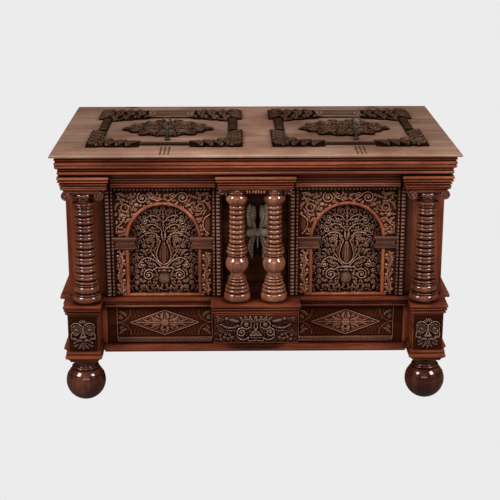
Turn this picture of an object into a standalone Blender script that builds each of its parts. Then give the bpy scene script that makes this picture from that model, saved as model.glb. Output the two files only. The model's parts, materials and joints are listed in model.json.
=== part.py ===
"""Carved document chest with a lift-up lid, two lid locks with keys, and turned corner columns.

Metres, +Z up, the front faces -Y. The origin is on the floor, under the middle of the lid.
"""
import math

import bmesh
import bpy
from mathutils import Matrix

# Clearances
SEAT_GAP = 0.0003
TURN_GAP = 0.0006

# Lid: outside size, board, and the moulded rim under its edge
LID_WIDTH = 1.000
LID_DEPTH = 0.640
LID_THICKNESS = 0.0070
LID_NOSING = 0.003
RIM_HEIGHT = 0.0507
RIM_OVERHANG = 0.011
RIM_FRONT_DEPTH = 0.060
RIM_LAP = 0.008
RIM_CLEARANCE = 0.0005
RIM_FILLET = 0.0095
RIM_OVOLO_HEIGHT = 0.021
RIM_OVOLO_INSET = 0.006
RIM_FRIEZE_INSET = 0.009

# Heights of the storeys, from the floor up
FOOT_HEIGHT = 0.110
PAD_OGEE_HEIGHT = 0.012
PAD_BAND_HEIGHT = 0.019
DIE_HEIGHT = 0.0937
LEDGE_HEIGHT = 0.029
ORDER_HEIGHT = 0.293
CORNICE_HEIGHT = 0.0367
CARCASE_LIFT = 0.004

# Setbacks of the front planes behind the lid's front edge, and the lid's other overhangs
BREAK_SETBACK = 0.015
CENTRE_CAP_SETBACK = 0.017
PEDESTAL_SETBACK = 0.011
COLUMN_SETBACK = 0.053
SMALL_COLUMN_SETBACK = 0.0575
FOOT_SETBACK = 0.062
CORNICE_SETBACK = 0.045
LEDGE_SETBACK = 0.075
BASE_SETBACK = 0.080
RIPPLE_SETBACK = 0.084
ARCH_SETBACK = 0.089
POST_SETBACK = 0.097
PLINTH_SETBACK = 0.100
FRONT_BOARD_SETBACK = 0.115
LID_SIDE_OVERHANG = 0.025
LID_BACK_OVERHANG = 0.0145

# Carcase boards
BOARD_THICKNESS = 0.020
BOTTOM_THICKNESS = 0.018
BOTTOM_LIFT = 0.005
HINGE_ROOM = 0.0035

# Corner bays
POST_WIDTH = 0.094
COLUMN_INSET = 0.050
BREAK_INNER_INSET = 0.116
BREAK_SIDE_PROJECTION = 0.010
PEDESTAL_WIDTH = 0.094
PEDESTAL_OUTSET = 0.010
FOOT_OUTSET = 0.012
PEDESTAL_DIE_INSET = 0.009
PAD_INSET = 0.001
PAD_FOOT_INSET = 0.012

# Side mouldings, beyond the side boards
SIDE_LEDGE_PROJECTION = 0.024
SIDE_BASE_PROJECTION = 0.021
BASE_HEIGHT = 0.018
BASE_OGEE_INSET = 0.008

# Cornice profile: drops from the top, and how far each step lies behind the crown
CROWN_HEIGHT = 0.006
CYMA_HEIGHT = 0.008
CYMA_INSET = 0.007
FASCIA_HEIGHT = 0.008
FASCIA_INSET = 0.011
ARCHITRAVE_INSET = 0.016

# Ledge profile
LEDGE_LIP_HEIGHT = 0.008
LEDGE_COVE_INSET = 0.005
LEDGE_BAND_HEIGHT = 0.007

# Centre bay
NICHE_HALF_WIDTH = 0.084
CENTRE_BREAK_HALF_WIDTH = 0.099
CENTRE_CAP_HALF_WIDTH = 0.113
CENTRE_BLOCK_INSET = 0.008
CENTRE_BLOCK_LIFT = 0.018
BACKING_DEPTH = 0.010

# Arched panels
RIPPLE_SIDE_WIDTH = 0.026
RIPPLE_TOP_HEIGHT = 0.0155
PANEL_THICKNESS = 0.010
PANEL_SINKING = 0.0045
ARCH_STRIP_WIDTH = 0.0309
ARCH_SILL_HEIGHT = 0.0085
ARCH_SPRING_HEIGHT = 0.152
ARCH_STEPS = 12
IMPOST_HEIGHT = 0.028
IMPOST_PROJECTION = 0.020
IMPOST_DROP = 0.021

# Large columns
TURN_STEPS = 16
CAPITAL_WIDTH = 0.103
CAPITAL_HEIGHT = 0.028
CAPITAL_DEPTH = 0.058
VOLUTE_RADIUS = 0.0115
COLUMN_RINGS = 9
COLUMN_NECK_RADIUS = 0.0205
COLUMN_RING_RADIUS = 0.026
COLUMN_NECK_HEIGHT = 0.014
ASTRAGAL_HEIGHT = 0.011
COLLAR_HEIGHT = 0.020
COLLAR_RADIUS = 0.031
TORUS_HEIGHT = 0.030
TORUS_RADIUS = 0.0365

# Small columns
SMALL_COLUMN_OFFSET = 0.0465
SMALL_STEPS = 14
SMALL_RINGS = 10
SMALL_NECK_RADIUS = 0.0155
SMALL_RING_RADIUS = 0.019
ABACUS_HEIGHT = 0.014
ECHINUS_HEIGHT = 0.029
ECHINUS_RADIUS = 0.0295
SMALL_COLLAR_HEIGHT = 0.022
SMALL_COLLAR_RADIUS = 0.0225
BULB_HEIGHT = 0.046
BULB_RADIUS = 0.0295
BULB_NECK_HEIGHT = 0.014
LOWER_RING_HEIGHT = 0.0125
LOWER_RING_RADIUS = 0.0215
SKIRT_HEIGHT = 0.019
SKIRT_RADIUS = 0.0305
SMALL_BASE_HEIGHT = 0.024
SMALL_BASE_RADIUS = 0.032

# Feet
BALL_RADIUS = 0.0505
BALL_CENTRE_HEIGHT = 0.048
BALL_TOP_HEIGHT = 0.083
FOOT_BEAD_HEIGHT = 0.007
FOOT_BEAD_RADIUS = 0.036
FOOT_NECK_RADIUS = 0.027
FOOT_SEAT_RADIUS = 0.034
BACK_FOOT_INSET = 0.050
BALL_STEPS = 7

# Frames and carved cartouches on the lid, placed apart because the two sides differ
LID_FRAME_INSETS = {"left": 0.079, "right": 0.068}
LID_FRAME_GAP = 0.073
LID_FRAME_DEPTH = 0.496
LID_FRAME_SETBACK = 0.098
LID_FRAME_STRIP = 0.024
LID_FRAME_HEIGHT = 0.012
EAR_PROJECTION = 0.013
EAR_WIDTH = 0.132
FRONT_EAR_LENGTH = 0.200
BACK_EAR_LENGTH = 0.110
BRACKET_WIDTH = 0.100
FRONT_BRACKET_DEPTH = 0.050
BACK_BRACKET_DEPTH = 0.075
CARTOUCHE_WIDTH = 0.230
CARTOUCHE_DEPTH = 0.232
CARTOUCHE_SETBACK = 0.312
CARTOUCHE_HEIGHT = 0.006
CARTOUCHE_GROUND = 0.0025
CARTOUCHE_LOBES = 10
CARTOUCHE_LOBE_SHARE = 0.05
CARTOUCHE_POINTS = 60
LEAF_SIDES = 8
LEAF_RINGS = 4
LEAF_ROOT = 0.0012

# Locks: key, bolt, case and the keeper rail that the bolts slide under
KEY_INSETS = {"left": 0.278, "right": 0.243}
KEY_SETBACK = 0.177
KEY_STEM_RADIUS = 0.004
KEY_STEM_RISE = 0.036
KEY_COLLAR_RADIUS = 0.0075
KEY_COLLAR_HEIGHT = 0.004
BOW_WIDTH = 0.027
BOW_HEIGHT = 0.034
BOW_WIRE_RADIUS = 0.0026
BIT_REACH = 0.012
BIT_THICKNESS = 0.004
BIT_HEIGHT = 0.010
BOLT_THROW = 0.012
BOLT_THICKNESS = 0.008
BOLT_WIDTH = 0.012
BOLT_SIDE_OFFSET = 0.0055
BOLT_TAIL = 0.018
TALON_FRONT = 0.0050
TALON_BACK = 0.0035
TALON_WALL = 0.004
TALON_HEIGHT = 0.012
LOCK_HALF_WIDTH = 0.031
LOCK_FRONT = 0.025
LOCK_BACK = 0.032
LOCK_WALL = 0.003
KEEPER_DEPTH = 0.012
KEEPER_HEIGHT = 0.0085
KEEPER_LENGTH = 0.640
BOLT_CLEARANCE = 0.001

# Strap hinges
HINGE_INSET = 0.133
KNUCKLE_RADIUS = 0.006
PIN_RADIUS = 0.0024
PIN_HEAD_RADIUS = 0.0036
PIN_HEAD_HEIGHT = 0.0015
HINGE_PLATE = 0.0025
STRAP_WIDTH = 0.014
STRAP_LENGTH = 0.230
LEAF_WIDTH = 0.040
LEAF_LENGTH = 0.060
KNUCKLE_STEPS = 14

# Planes worked out from the sizes above
CARCASE_HALF = LID_WIDTH / 2 - LID_SIDE_OVERHANG
RIM_INNER = CARCASE_HALF - RIM_LAP
LID_FRONT = -LID_DEPTH / 2
BOARD_FRONT = LID_FRONT + FRONT_BOARD_SETBACK
BOARD_INNER = BOARD_FRONT + BOARD_THICKNESS
BACK_FACE = LID_DEPTH / 2 - LID_BACK_OVERHANG
BACK_INNER = BACK_FACE - BOARD_THICKNESS
POST_FRONT = LID_FRONT + POST_SETBACK
POST_INNER = CARCASE_HALF - POST_WIDTH
COLUMN_X = CARCASE_HALF - COLUMN_INSET
PEDESTAL_X = COLUMN_X + PEDESTAL_OUTSET
FOOT_X = COLUMN_X + FOOT_OUTSET
CARCASE_BOTTOM = FOOT_HEIGHT + CARCASE_LIFT
PAD_BOTTOM = FOOT_HEIGHT + SEAT_GAP
PAD_TOP = PAD_BOTTOM + PAD_OGEE_HEIGHT + PAD_BAND_HEIGHT
LEDGE_BOTTOM = PAD_TOP + DIE_HEIGHT
LEDGE_TOP = LEDGE_BOTTOM + LEDGE_HEIGHT
BREAK_BOTTOM = LEDGE_TOP + ORDER_HEIGHT
CARCASE_TOP = BREAK_BOTTOM + CORNICE_HEIGHT
RIM_BOTTOM = CARCASE_TOP + SEAT_GAP
RIM_TOP = RIM_BOTTOM + RIM_HEIGHT
SLAB_BOTTOM = RIM_TOP + SEAT_GAP
SLAB_TOP = SLAB_BOTTOM + LID_THICKNESS
BACK_TOP = SLAB_BOTTOM - HINGE_ROOM
HINGE_Y = BACK_FACE + SEAT_GAP + KNUCKLE_RADIUS
HINGE_Z = SLAB_BOTTOM - SEAT_GAP - KNUCKLE_RADIUS
UNIT_INNER = NICHE_HALF_WIDTH + SEAT_GAP
UNIT_OUTER = POST_INNER - SEAT_GAP
UNIT_CENTRE = (UNIT_INNER + UNIT_OUTER) / 2
UNIT_BOTTOM = LEDGE_TOP + SEAT_GAP
UNIT_TOP = BREAK_BOTTOM - SEAT_GAP
KEY_Y = LID_FRONT + KEY_SETBACK
KEEPER_BOTTOM = CARCASE_TOP - KEEPER_HEIGHT
BOLT_TOP = KEEPER_BOTTOM - BOLT_CLEARANCE
BOLT_BOTTOM = BOLT_TOP - BOLT_THICKNESS
LOCK_BOTTOM = BOLT_BOTTOM - SEAT_GAP - LOCK_WALL
BIT_BOTTOM = BOLT_TOP + BOLT_CLEARANCE

SIDES = {"left": -1, "right": 1}
LID_FRAMES_ROOM = LID_WIDTH - LID_FRAME_INSETS["left"] - LID_FRAME_INSETS["right"]
LID_FRAME_WIDTH = (LID_FRAMES_ROOM - LID_FRAME_GAP) / 2
LID_FRAME_CENTRES = {
    side: sign * (LID_WIDTH / 2 - LID_FRAME_INSETS[side] - LID_FRAME_WIDTH / 2)
    for side, sign in SIDES.items()
}
KEY_CENTRES = {side: sign * (LID_WIDTH / 2 - KEY_INSETS[side]) for side, sign in SIDES.items()}
FACING_FRONT = (math.pi / 2, 0, 0)
ALONG_X = (math.pi / 2, 0, math.pi / 2)


def clear_scene():
    for old in list(bpy.data.objects):
        bpy.data.objects.remove(old, do_unlink=True)


def new_collection(name):
    made = bpy.data.collections.new(name)
    bpy.context.scene.collection.children.link(made)
    return made


def finish(name, colour, roughness, metallic=0.0):
    made = bpy.data.materials.new(name)
    made.use_nodes = True
    shader = made.node_tree.nodes["Principled BSDF"]
    shader.inputs["Base Color"].default_value = (*colour, 1.0)
    shader.inputs["Roughness"].default_value = roughness
    shader.inputs["Metallic"].default_value = metallic
    return made


clear_scene()
CHEST = new_collection("document_chest")
CUTTERS = new_collection("cutters")
OAK = finish("red_brown_oak", (0.17, 0.055, 0.028), 0.38)
CARVED = finish("dark_carved_oak", (0.10, 0.038, 0.022), 0.45)
LID_OAK = finish("faded_lid_oak", (0.26, 0.135, 0.085), 0.5)
IRON = finish("dark_iron", (0.06, 0.055, 0.05), 0.45, 0.9)


def place(name, mesh, material, location=(0, 0, 0), rotation=(0, 0, 0)):
    """Put a mesh in the chest's collection as a named piece."""
    mesh.materials.clear()
    mesh.materials.append(material)
    piece = bpy.data.objects.new(name, mesh)
    piece.location = location
    piece.rotation_euler = rotation
    CHEST.objects.link(piece)
    return piece


def as_cutter(piece):
    """Move a piece out of the chest, to be used only by Boolean modifiers."""
    CHEST.objects.unlink(piece)
    CUTTERS.objects.link(piece)
    piece.hide_render = True
    piece.display_type = "WIRE"
    return piece


def combine(piece, other, operation):
    modifier = piece.modifiers.new(operation.lower() + "_" + other.name, "BOOLEAN")
    modifier.operation = operation
    modifier.object = as_cutter(other)


def finished_mesh(name, model):
    bmesh.ops.recalc_face_normals(model, faces=model.faces)
    mesh = bpy.data.meshes.new(name)
    model.to_mesh(mesh)
    model.free()
    return mesh


def block(name, x_range, y_range, z_range, material):
    """A plain board or bar between three pairs of planes."""
    model = bmesh.new()
    bmesh.ops.create_cube(model, size=1.0)
    size = [high - low for low, high in (x_range, y_range, z_range)]
    bmesh.ops.scale(model, vec=size, verts=model.verts)
    middle = [(low + high) / 2 for low, high in (x_range, y_range, z_range)]
    return place(name, finished_mesh(name, model), material, middle)


def loft(name, rings, material):
    """A closed solid through rings of points, which run from the top down."""
    model = bmesh.new()
    rows = [[model.verts.new(point) for point in ring] for ring in rings]
    for upper, lower in zip(rows, rows[1:]):
        for index in range(len(upper)):
            after = (index + 1) % len(upper)
            model.faces.new((upper[index], upper[after], lower[after], lower[index]))
    model.faces.new(rows[0])
    model.faces.new(rows[-1])
    return place(name, finished_mesh(name, model), material)


def falling(levels):
    """Levels with each one below the last, so that a flat step slopes by a hair."""
    lowered = []
    for height, inset in levels:
        if lowered:
            height = min(height, lowered[-1][0] - SEAT_GAP)
        lowered.append((height, inset))
    return lowered


def moulded_block(name, x_range, y_range, levels, sides, material):
    """A block whose named sides (left, right, front, back) step in by each level's inset."""
    rings = []
    for height, inset in falling(levels):
        left = x_range[0] + inset * ("left" in sides)
        right = x_range[1] - inset * ("right" in sides)
        front = y_range[0] + inset * ("front" in sides)
        back = y_range[1] - inset * ("back" in sides)
        ring = [(left, front), (right, front), (right, back), (left, back)]
        rings.append([(x, y, height) for x, y in ring])
    return loft(name, rings, material)


def turned(name, centre, profile, steps, material):
    """A solid of revolution about Z, from (radius, height) points that run from the top down."""
    outline = [profile[0]]
    for point in profile[1:]:
        if math.dist(point, outline[-1]) > SEAT_GAP / 10:
            outline.append(point)
    mesh = bpy.data.meshes.new(name)
    edges = [(index, index + 1) for index in range(len(outline) - 1)]
    mesh.from_pydata([(radius, 0, height) for radius, height in outline], edges, [])
    piece = place(name, mesh, material, centre)
    screw = piece.modifiers.new("turning", "SCREW")
    screw.axis = "Z"
    screw.angle = 2 * math.pi
    screw.steps = steps
    screw.render_steps = steps
    screw.use_merge_vertices = True
    screw.merge_threshold = 0.00001
    screw.use_smooth_shade = True
    return piece


def bead(top, bottom, side_radius, crest_radius, steps=4):
    """Points of a rounded ring of a turned profile, from its top edge to its bottom edge."""
    points = []
    for index in range(steps + 1):
        angle = math.pi * index / steps
        radius = side_radius + (crest_radius - side_radius) * math.sin(angle)
        height = (top + bottom) / 2 + (top - bottom) / 2 * math.cos(angle)
        points.append((radius, height))
    return points


def arc(centre, radius, start, end, steps):
    """Points of a circular arc, with angles in degrees."""
    angles = [math.radians(start + (end - start) * index / steps) for index in range(steps + 1)]
    return [(centre[0] + radius * math.cos(a), centre[1] + radius * math.sin(a)) for a in angles]


def flat_shape(name, loops, thickness, location, rotation, material):
    """A flat outline with holes, extruded to a thickness about its own plane."""
    curve = bpy.data.curves.new(name + "_outline", "CURVE")
    curve.dimensions = "2D"
    curve.fill_mode = "BOTH"
    curve.extrude = thickness / 2
    for loop in loops:
        spline = curve.splines.new("POLY")
        spline.points.add(len(loop) - 1)
        for point, place_2d in zip(spline.points, loop):
            point.co = (*place_2d, 0, 1)
        spline.use_cyclic_u = True
    drawing = bpy.data.objects.new(name + "_outline", curve)
    bpy.context.scene.collection.objects.link(drawing)
    graph = bpy.context.evaluated_depsgraph_get()
    mesh = bpy.data.meshes.new_from_object(drawing.evaluated_get(graph))
    bpy.data.objects.remove(drawing, do_unlink=True)
    mesh.name = name
    model = bmesh.new()
    model.from_mesh(mesh)
    bmesh.ops.remove_doubles(model, verts=model.verts, dist=0.00001)
    bmesh.ops.recalc_face_normals(model, faces=model.faces)
    model.to_mesh(mesh)
    model.free()
    return place(name, mesh, material, location, rotation)


def cylinder(name, radius, length, location, rotation, steps, material):
    model = bmesh.new()
    bmesh.ops.create_cone(
        model, cap_ends=True, segments=steps, radius1=radius, radius2=radius, depth=length
    )
    return place(name, finished_mesh(name, model), material, location, rotation)


def add_carving(piece, forms, height, origin, rotation):
    """Join low rounded leaves and bosses to a piece's ground: (across, up, half length, half width, turn).
    Their facets are turned by half a step, so that no edge of a middle form lies on the middle line."""
    for index, (across, up, length, width, turn) in enumerate(forms):
        model = bmesh.new()
        bmesh.ops.create_uvsphere(model, u_segments=LEAF_SIDES, v_segments=LEAF_RINGS, radius=1.0)
        half_step = Matrix.Rotation(math.pi / LEAF_SIDES, 3, "Z")
        bmesh.ops.rotate(model, matrix=half_step, verts=model.verts)
        bmesh.ops.scale(model, vec=(length, width, height), verts=model.verts)
        for vertex in model.verts:
            vertex.co.z = max(vertex.co.z, -LEAF_ROOT)
        bmesh.ops.rotate(model, matrix=Matrix.Rotation(math.radians(turn), 3, "Z"), verts=model.verts)
        bmesh.ops.translate(model, vec=(across, up, 0), verts=model.verts)
        name = f"{piece.name}_leaf_{index}"
        combine(piece, place(name, finished_mesh(name, model), CARVED, origin, rotation), "UNION")


def both_hands(forms):
    """Forms off the middle line, each with its mirror image."""
    return forms + [(-across, up, length, width, -turn) for across, up, length, width, turn in forms]


def mirrored(side, near, far):
    """The X range from near to far on one side of the middle, in rising order."""
    return tuple(sorted((SIDES[side] * near, SIDES[side] * far)))


def make_carcase():
    inside = CARCASE_HALF - BOARD_THICKNESS - SEAT_GAP
    upright = (CARCASE_BOTTOM, CARCASE_TOP)
    floor = CARCASE_BOTTOM + BOTTOM_LIFT
    between = (BOARD_INNER + SEAT_GAP, BACK_INNER - SEAT_GAP)
    block("front_board", (-inside, inside), (BOARD_FRONT, BOARD_INNER), upright, OAK)
    shoulder = RIM_INNER - RIM_CLEARANCE
    right_edge = [
        (CARCASE_HALF, CARCASE_BOTTOM),
        (CARCASE_HALF, CARCASE_TOP),
        (shoulder, CARCASE_TOP),
        (shoulder, BACK_TOP),
    ]
    flat_shape(
        "back_board",
        [right_edge + [(-x, z) for x, z in reversed(right_edge)]],
        BOARD_THICKNESS,
        (0, (BACK_INNER + BACK_FACE) / 2, 0),
        FACING_FRONT,
        OAK,
    )
    block("bottom_board", (-inside, inside), between, (floor, floor + BOTTOM_THICKNESS), OAK)
    for side in SIDES:
        x_range = mirrored(side, CARCASE_HALF - BOARD_THICKNESS, CARCASE_HALF)
        block("side_board_" + side, x_range, (BOARD_FRONT, BACK_INNER - SEAT_GAP), upright, OAK)
        x_range = mirrored(side, POST_INNER, CARCASE_HALF)
        block("corner_post_" + side, x_range, (POST_FRONT, BOARD_FRONT - SEAT_GAP), upright, OAK)


def cornice_levels():
    """Crown, cyma, fascia and architrave, from the top down."""
    crown = CARCASE_TOP - CROWN_HEIGHT
    cyma = crown - CYMA_HEIGHT
    fascia = cyma - FASCIA_HEIGHT
    return [
        (CARCASE_TOP, 0),
        (crown, 0),
        (cyma, CYMA_INSET),
        (cyma, FASCIA_INSET),
        (fascia, FASCIA_INSET),
        (fascia, ARCHITRAVE_INSET),
        (BREAK_BOTTOM, ARCHITRAVE_INSET),
    ]


def make_cornice():
    levels = cornice_levels()
    break_front = LID_FRONT + BREAK_SETBACK
    run_half = CARCASE_HALF - BREAK_INNER_INSET - SEAT_GAP
    run_front = LID_FRONT + CORNICE_SETBACK
    run_back = BOARD_FRONT - SEAT_GAP
    run = moulded_block(
        "cornice_front", (-run_half, run_half), (run_front, run_back), levels, ("front",), OAK
    )
    centre = CENTRE_BREAK_HALF_WIDTH
    backing = run_back - BACKING_DEPTH
    notch = block(
        "cornice_notch",
        (-centre - SEAT_GAP, centre + SEAT_GAP),
        (LID_FRONT, backing),
        (BREAK_BOTTOM - CORNICE_HEIGHT, CARCASE_TOP + CORNICE_HEIGHT),
        OAK,
    )
    combine(run, notch, "DIFFERENCE")
    moulded_block(
        "cornice_break_centre",
        (-centre, centre),
        (break_front, backing - SEAT_GAP),
        levels,
        ("left", "right", "front"),
        OAK,
    )
    for side in SIDES:
        outer = CARCASE_HALF + BREAK_SIDE_PROJECTION
        moulded_block(
            "cornice_break_" + side,
            mirrored(side, CARCASE_HALF - BREAK_INNER_INSET, outer),
            (break_front, POST_FRONT - SEAT_GAP),
            levels,
            ("left", "right", "front"),
            OAK,
        )
        side_levels = [(height, min(inset, BREAK_SIDE_PROJECTION / 2)) for height, inset in levels]
        moulded_block(
            "cornice_" + side,
            mirrored(side, CARCASE_HALF + SEAT_GAP, outer),
            (POST_FRONT, BACK_FACE),
            side_levels,
            (side,),
            OAK,
        )


def panel_forms(arch_half, arch_top):
    """Main forms of an arched panel: a tulip over a fruit, with curling stems, flowers up the sides and
    branches under the arch. Places across and sizes are shares of the arch's half width, and places up
    are shares of its height."""
    middle = [
        (0, 0.13, 0.19, 0.18, 0),
        (0, 0.235, 0.13, 0.066, 0),
        (0, 0.38, 0.33, 0.165, 90),
        (0, 0.62, 0.26, 0.066, 90),
        (0, 0.87, 0.12, 0.12, 0),
    ]
    sides = [
        (-0.45, 0.18, 0.165, 0.155, 0),
        (-0.31, 0.31, 0.30, 0.066, 152),
        (-0.63, 0.285, 0.12, 0.12, 0),
        (-0.79, 0.175, 0.31, 0.10, 90),
        (-0.66, 0.40, 0.19, 0.09, 135),
        (-0.40, 0.485, 0.20, 0.09, 120),
        (-0.13, 0.56, 0.175, 0.066, 118),
        (-0.73, 0.52, 0.13, 0.13, 0),
        (-0.35, 0.595, 0.11, 0.11, 0),
        (-0.62, 0.66, 0.20, 0.10, 145),
        (-0.29, 0.725, 0.24, 0.10, 120),
        (-0.51, 0.78, 0.14, 0.12, 40),
        (-0.22, 0.855, 0.11, 0.11, 0),
    ]
    return [
        (across * arch_half, up * arch_top, long * arch_half, wide * arch_half, turn)
        for across, up, long, wide, turn in middle + both_hands(sides)
    ]


def make_arch_units():
    ripple_front = LID_FRONT + RIPPLE_SETBACK
    arch_front = LID_FRONT + ARCH_SETBACK
    back = BOARD_FRONT - SEAT_GAP
    panel_front = back - PANEL_THICKNESS
    unit_half = (UNIT_OUTER - UNIT_INNER) / 2
    inner_half = unit_half - RIPPLE_SIDE_WIDTH
    inner_top = UNIT_TOP - RIPPLE_TOP_HEIGHT
    board_half = inner_half - SEAT_GAP
    arch_half = board_half - ARCH_STRIP_WIDTH
    board_top = inner_top - SEAT_GAP
    ripple_outline = [
        (-unit_half, UNIT_BOTTOM),
        (-inner_half, UNIT_BOTTOM),
        (-inner_half, inner_top),
        (inner_half, inner_top),
        (inner_half, UNIT_BOTTOM),
        (unit_half, UNIT_BOTTOM),
        (unit_half, UNIT_TOP),
        (-unit_half, UNIT_TOP),
    ]
    board_outline = [
        (-board_half, UNIT_BOTTOM),
        (board_half, UNIT_BOTTOM),
        (board_half, board_top),
        (-board_half, board_top),
    ]
    sill = UNIT_BOTTOM + ARCH_SILL_HEIGHT
    spring = UNIT_BOTTOM + ARCH_SPRING_HEIGHT
    impost_bottom = spring - IMPOST_DROP
    impost_top = impost_bottom + IMPOST_HEIGHT
    impost_edge = arch_half - IMPOST_PROJECTION
    start = math.degrees(math.asin((impost_top - spring) / arch_half))
    opening = [
        (-arch_half, sill),
        (arch_half, sill),
        (arch_half, impost_bottom),
        (impost_edge, impost_bottom),
        (impost_edge, impost_top),
    ]
    opening += arc((0, spring), arch_half, start, 180 - start, ARCH_STEPS)
    opening += [
        (-impost_edge, impost_top),
        (-impost_edge, impost_bottom),
        (-arch_half, impost_bottom),
    ]
    sunk_field = [(-arch_half, sill), (arch_half, sill)]
    sunk_field += arc((0, spring), arch_half, 0, 180, ARCH_STEPS)
    for side, sign in SIDES.items():
        centre = sign * UNIT_CENTRE
        flat_shape(
            "ripple_frame_" + side,
            [ripple_outline],
            back - ripple_front,
            (centre, (ripple_front + back) / 2, 0),
            FACING_FRONT,
            CARVED,
        )
        panel = block(
            "arch_panel_" + side,
            (centre - board_half, centre + board_half),
            (panel_front, back),
            (UNIT_BOTTOM, board_top),
            CARVED,
        )
        sinking = flat_shape(
            "panel_sinking_" + side,
            [sunk_field],
            2 * PANEL_SINKING,
            (centre, panel_front, 0),
            FACING_FRONT,
            CARVED,
        )
        combine(panel, sinking, "DIFFERENCE")
        ground = (centre, panel_front + PANEL_SINKING, UNIT_BOTTOM)
        forms = panel_forms(arch_half, ARCH_SPRING_HEIGHT + arch_half)
        add_carving(panel, forms, PANEL_SINKING - SEAT_GAP, ground, FACING_FRONT)
        frame_back = panel_front - SEAT_GAP
        flat_shape(
            "arch_frame_" + side,
            [board_outline, opening],
            frame_back - arch_front,
            (centre, (arch_front + frame_back) / 2, 0),
            FACING_FRONT,
            OAK,
        )


def column_profile(top, bottom):
    """Neck, astragal, a stack of equal rings, collar and torus, from the top down."""
    neck = COLUMN_NECK_RADIUS
    astragal_top = top - COLUMN_NECK_HEIGHT
    rings_top = astragal_top - ASTRAGAL_HEIGHT
    collar_top = bottom + TORUS_HEIGHT + COLLAR_HEIGHT
    pitch = (rings_top - collar_top) / COLUMN_RINGS
    points = [(0, top), (neck, top)]
    points += bead(astragal_top, rings_top, neck, COLUMN_RING_RADIUS)
    for index in range(COLUMN_RINGS):
        ring_top = rings_top - pitch * index
        points += bead(ring_top, ring_top - pitch, neck, COLUMN_RING_RADIUS)
    points += bead(collar_top, bottom + TORUS_HEIGHT, neck, COLLAR_RADIUS)
    points += bead(bottom + TORUS_HEIGHT, bottom, COLLAR_RADIUS, TORUS_RADIUS)
    points.append((0, bottom))
    return points


def capital_outline():
    """Front outline of a scroll capital: a top slab with a round volute hanging at each end."""
    half = CAPITAL_WIDTH / 2
    slab = CAPITAL_HEIGHT - 2 * VOLUTE_RADIUS
    eye = (half - VOLUTE_RADIUS, -slab - VOLUTE_RADIUS)
    scroll = arc(eye, VOLUTE_RADIUS, 80, -180, 10)
    mirrored_scroll = [(-x, z) for x, z in reversed(scroll)]
    return [(-half, 0), (half, 0), (half, -slab)] + scroll + mirrored_scroll + [(-half, -slab)]


def make_columns():
    capital_top = BREAK_BOTTOM - SEAT_GAP
    axis_y = LID_FRONT + COLUMN_SETBACK
    shaft_top = capital_top - CAPITAL_HEIGHT + VOLUTE_RADIUS
    for side, sign in SIDES.items():
        flat_shape(
            "capital_" + side,
            [capital_outline()],
            CAPITAL_DEPTH,
            (sign * COLUMN_X, axis_y, capital_top),
            FACING_FRONT,
            OAK,
        )
        profile = column_profile(shaft_top - SEAT_GAP, LEDGE_TOP + SEAT_GAP)
        turned("column_" + side, (sign * COLUMN_X, axis_y, 0), profile, TURN_STEPS, OAK)


def small_column_profile(top, bottom):
    """Abacus, echinus, rings, collar, bulb, lower rings, skirt and base, from the top down."""
    neck = SMALL_NECK_RADIUS
    echinus_top = top - ABACUS_HEIGHT
    rings_top = echinus_top - ECHINUS_HEIGHT
    skirt_top = bottom + SMALL_BASE_HEIGHT + SKIRT_HEIGHT
    lower_top = skirt_top + 2 * LOWER_RING_HEIGHT
    bulb_bottom = lower_top + BULB_NECK_HEIGHT
    bulb_top = bulb_bottom + BULB_HEIGHT
    collar_top = bulb_top + SMALL_COLLAR_HEIGHT
    pitch = (rings_top - collar_top) / SMALL_RINGS
    points = [(0, top), (ECHINUS_RADIUS, top), (ECHINUS_RADIUS, echinus_top)]
    points += bead(echinus_top, rings_top, SMALL_RING_RADIUS, ECHINUS_RADIUS)
    for index in range(SMALL_RINGS):
        ring_top = rings_top - pitch * index
        points += bead(ring_top, ring_top - pitch, neck, SMALL_RING_RADIUS, 3)
    points += bead(collar_top, bulb_top, neck, SMALL_COLLAR_RADIUS)
    points += bead(bulb_top, bulb_bottom, SMALL_RING_RADIUS, BULB_RADIUS, 6)
    points.append((SMALL_RING_RADIUS, lower_top))
    for index in range(2):
        ring_top = lower_top - LOWER_RING_HEIGHT * index
        points += bead(ring_top, ring_top - LOWER_RING_HEIGHT, SMALL_RING_RADIUS, LOWER_RING_RADIUS, 3)
    points += bead(skirt_top, bottom + SMALL_BASE_HEIGHT, LOWER_RING_RADIUS, SKIRT_RADIUS)
    points += bead(bottom + SMALL_BASE_HEIGHT, bottom, SMALL_COLLAR_RADIUS, SMALL_BASE_RADIUS)
    points.append((0, bottom))
    return points


def make_small_columns():
    axis_y = LID_FRONT + SMALL_COLUMN_SETBACK
    profile = small_column_profile(BREAK_BOTTOM - SEAT_GAP, LEDGE_TOP + SEAT_GAP)
    for side, sign in SIDES.items():
        centre = (sign * SMALL_COLUMN_OFFSET, axis_y, 0)
        turned("small_column_" + side, centre, profile, SMALL_STEPS, OAK)


def ledge_levels(top, body_inset):
    """Lip, cove and band of the ledge moulding, from its top down to its body's inset."""
    lip = top - LEDGE_LIP_HEIGHT
    band = lip - LEDGE_BAND_HEIGHT
    return [
        (top, 0),
        (lip, 0),
        (band, LEDGE_COVE_INSET),
        (band - LEDGE_BAND_HEIGHT, LEDGE_COVE_INSET),
        (top - LEDGE_HEIGHT, body_inset),
    ]


def lap_posts(run):
    """Cut the ends of a run of moulding so that they lap in front of the corner posts."""
    for side in SIDES:
        post = block(
            f"{run.name}_lap_{side}",
            mirrored(side, POST_INNER - SEAT_GAP, CARCASE_HALF),
            (POST_FRONT - SEAT_GAP, BOARD_INNER),
            (CARCASE_BOTTOM - BASE_HEIGHT, CARCASE_TOP),
            OAK,
        )
        combine(run, post, "DIFFERENCE")


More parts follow.
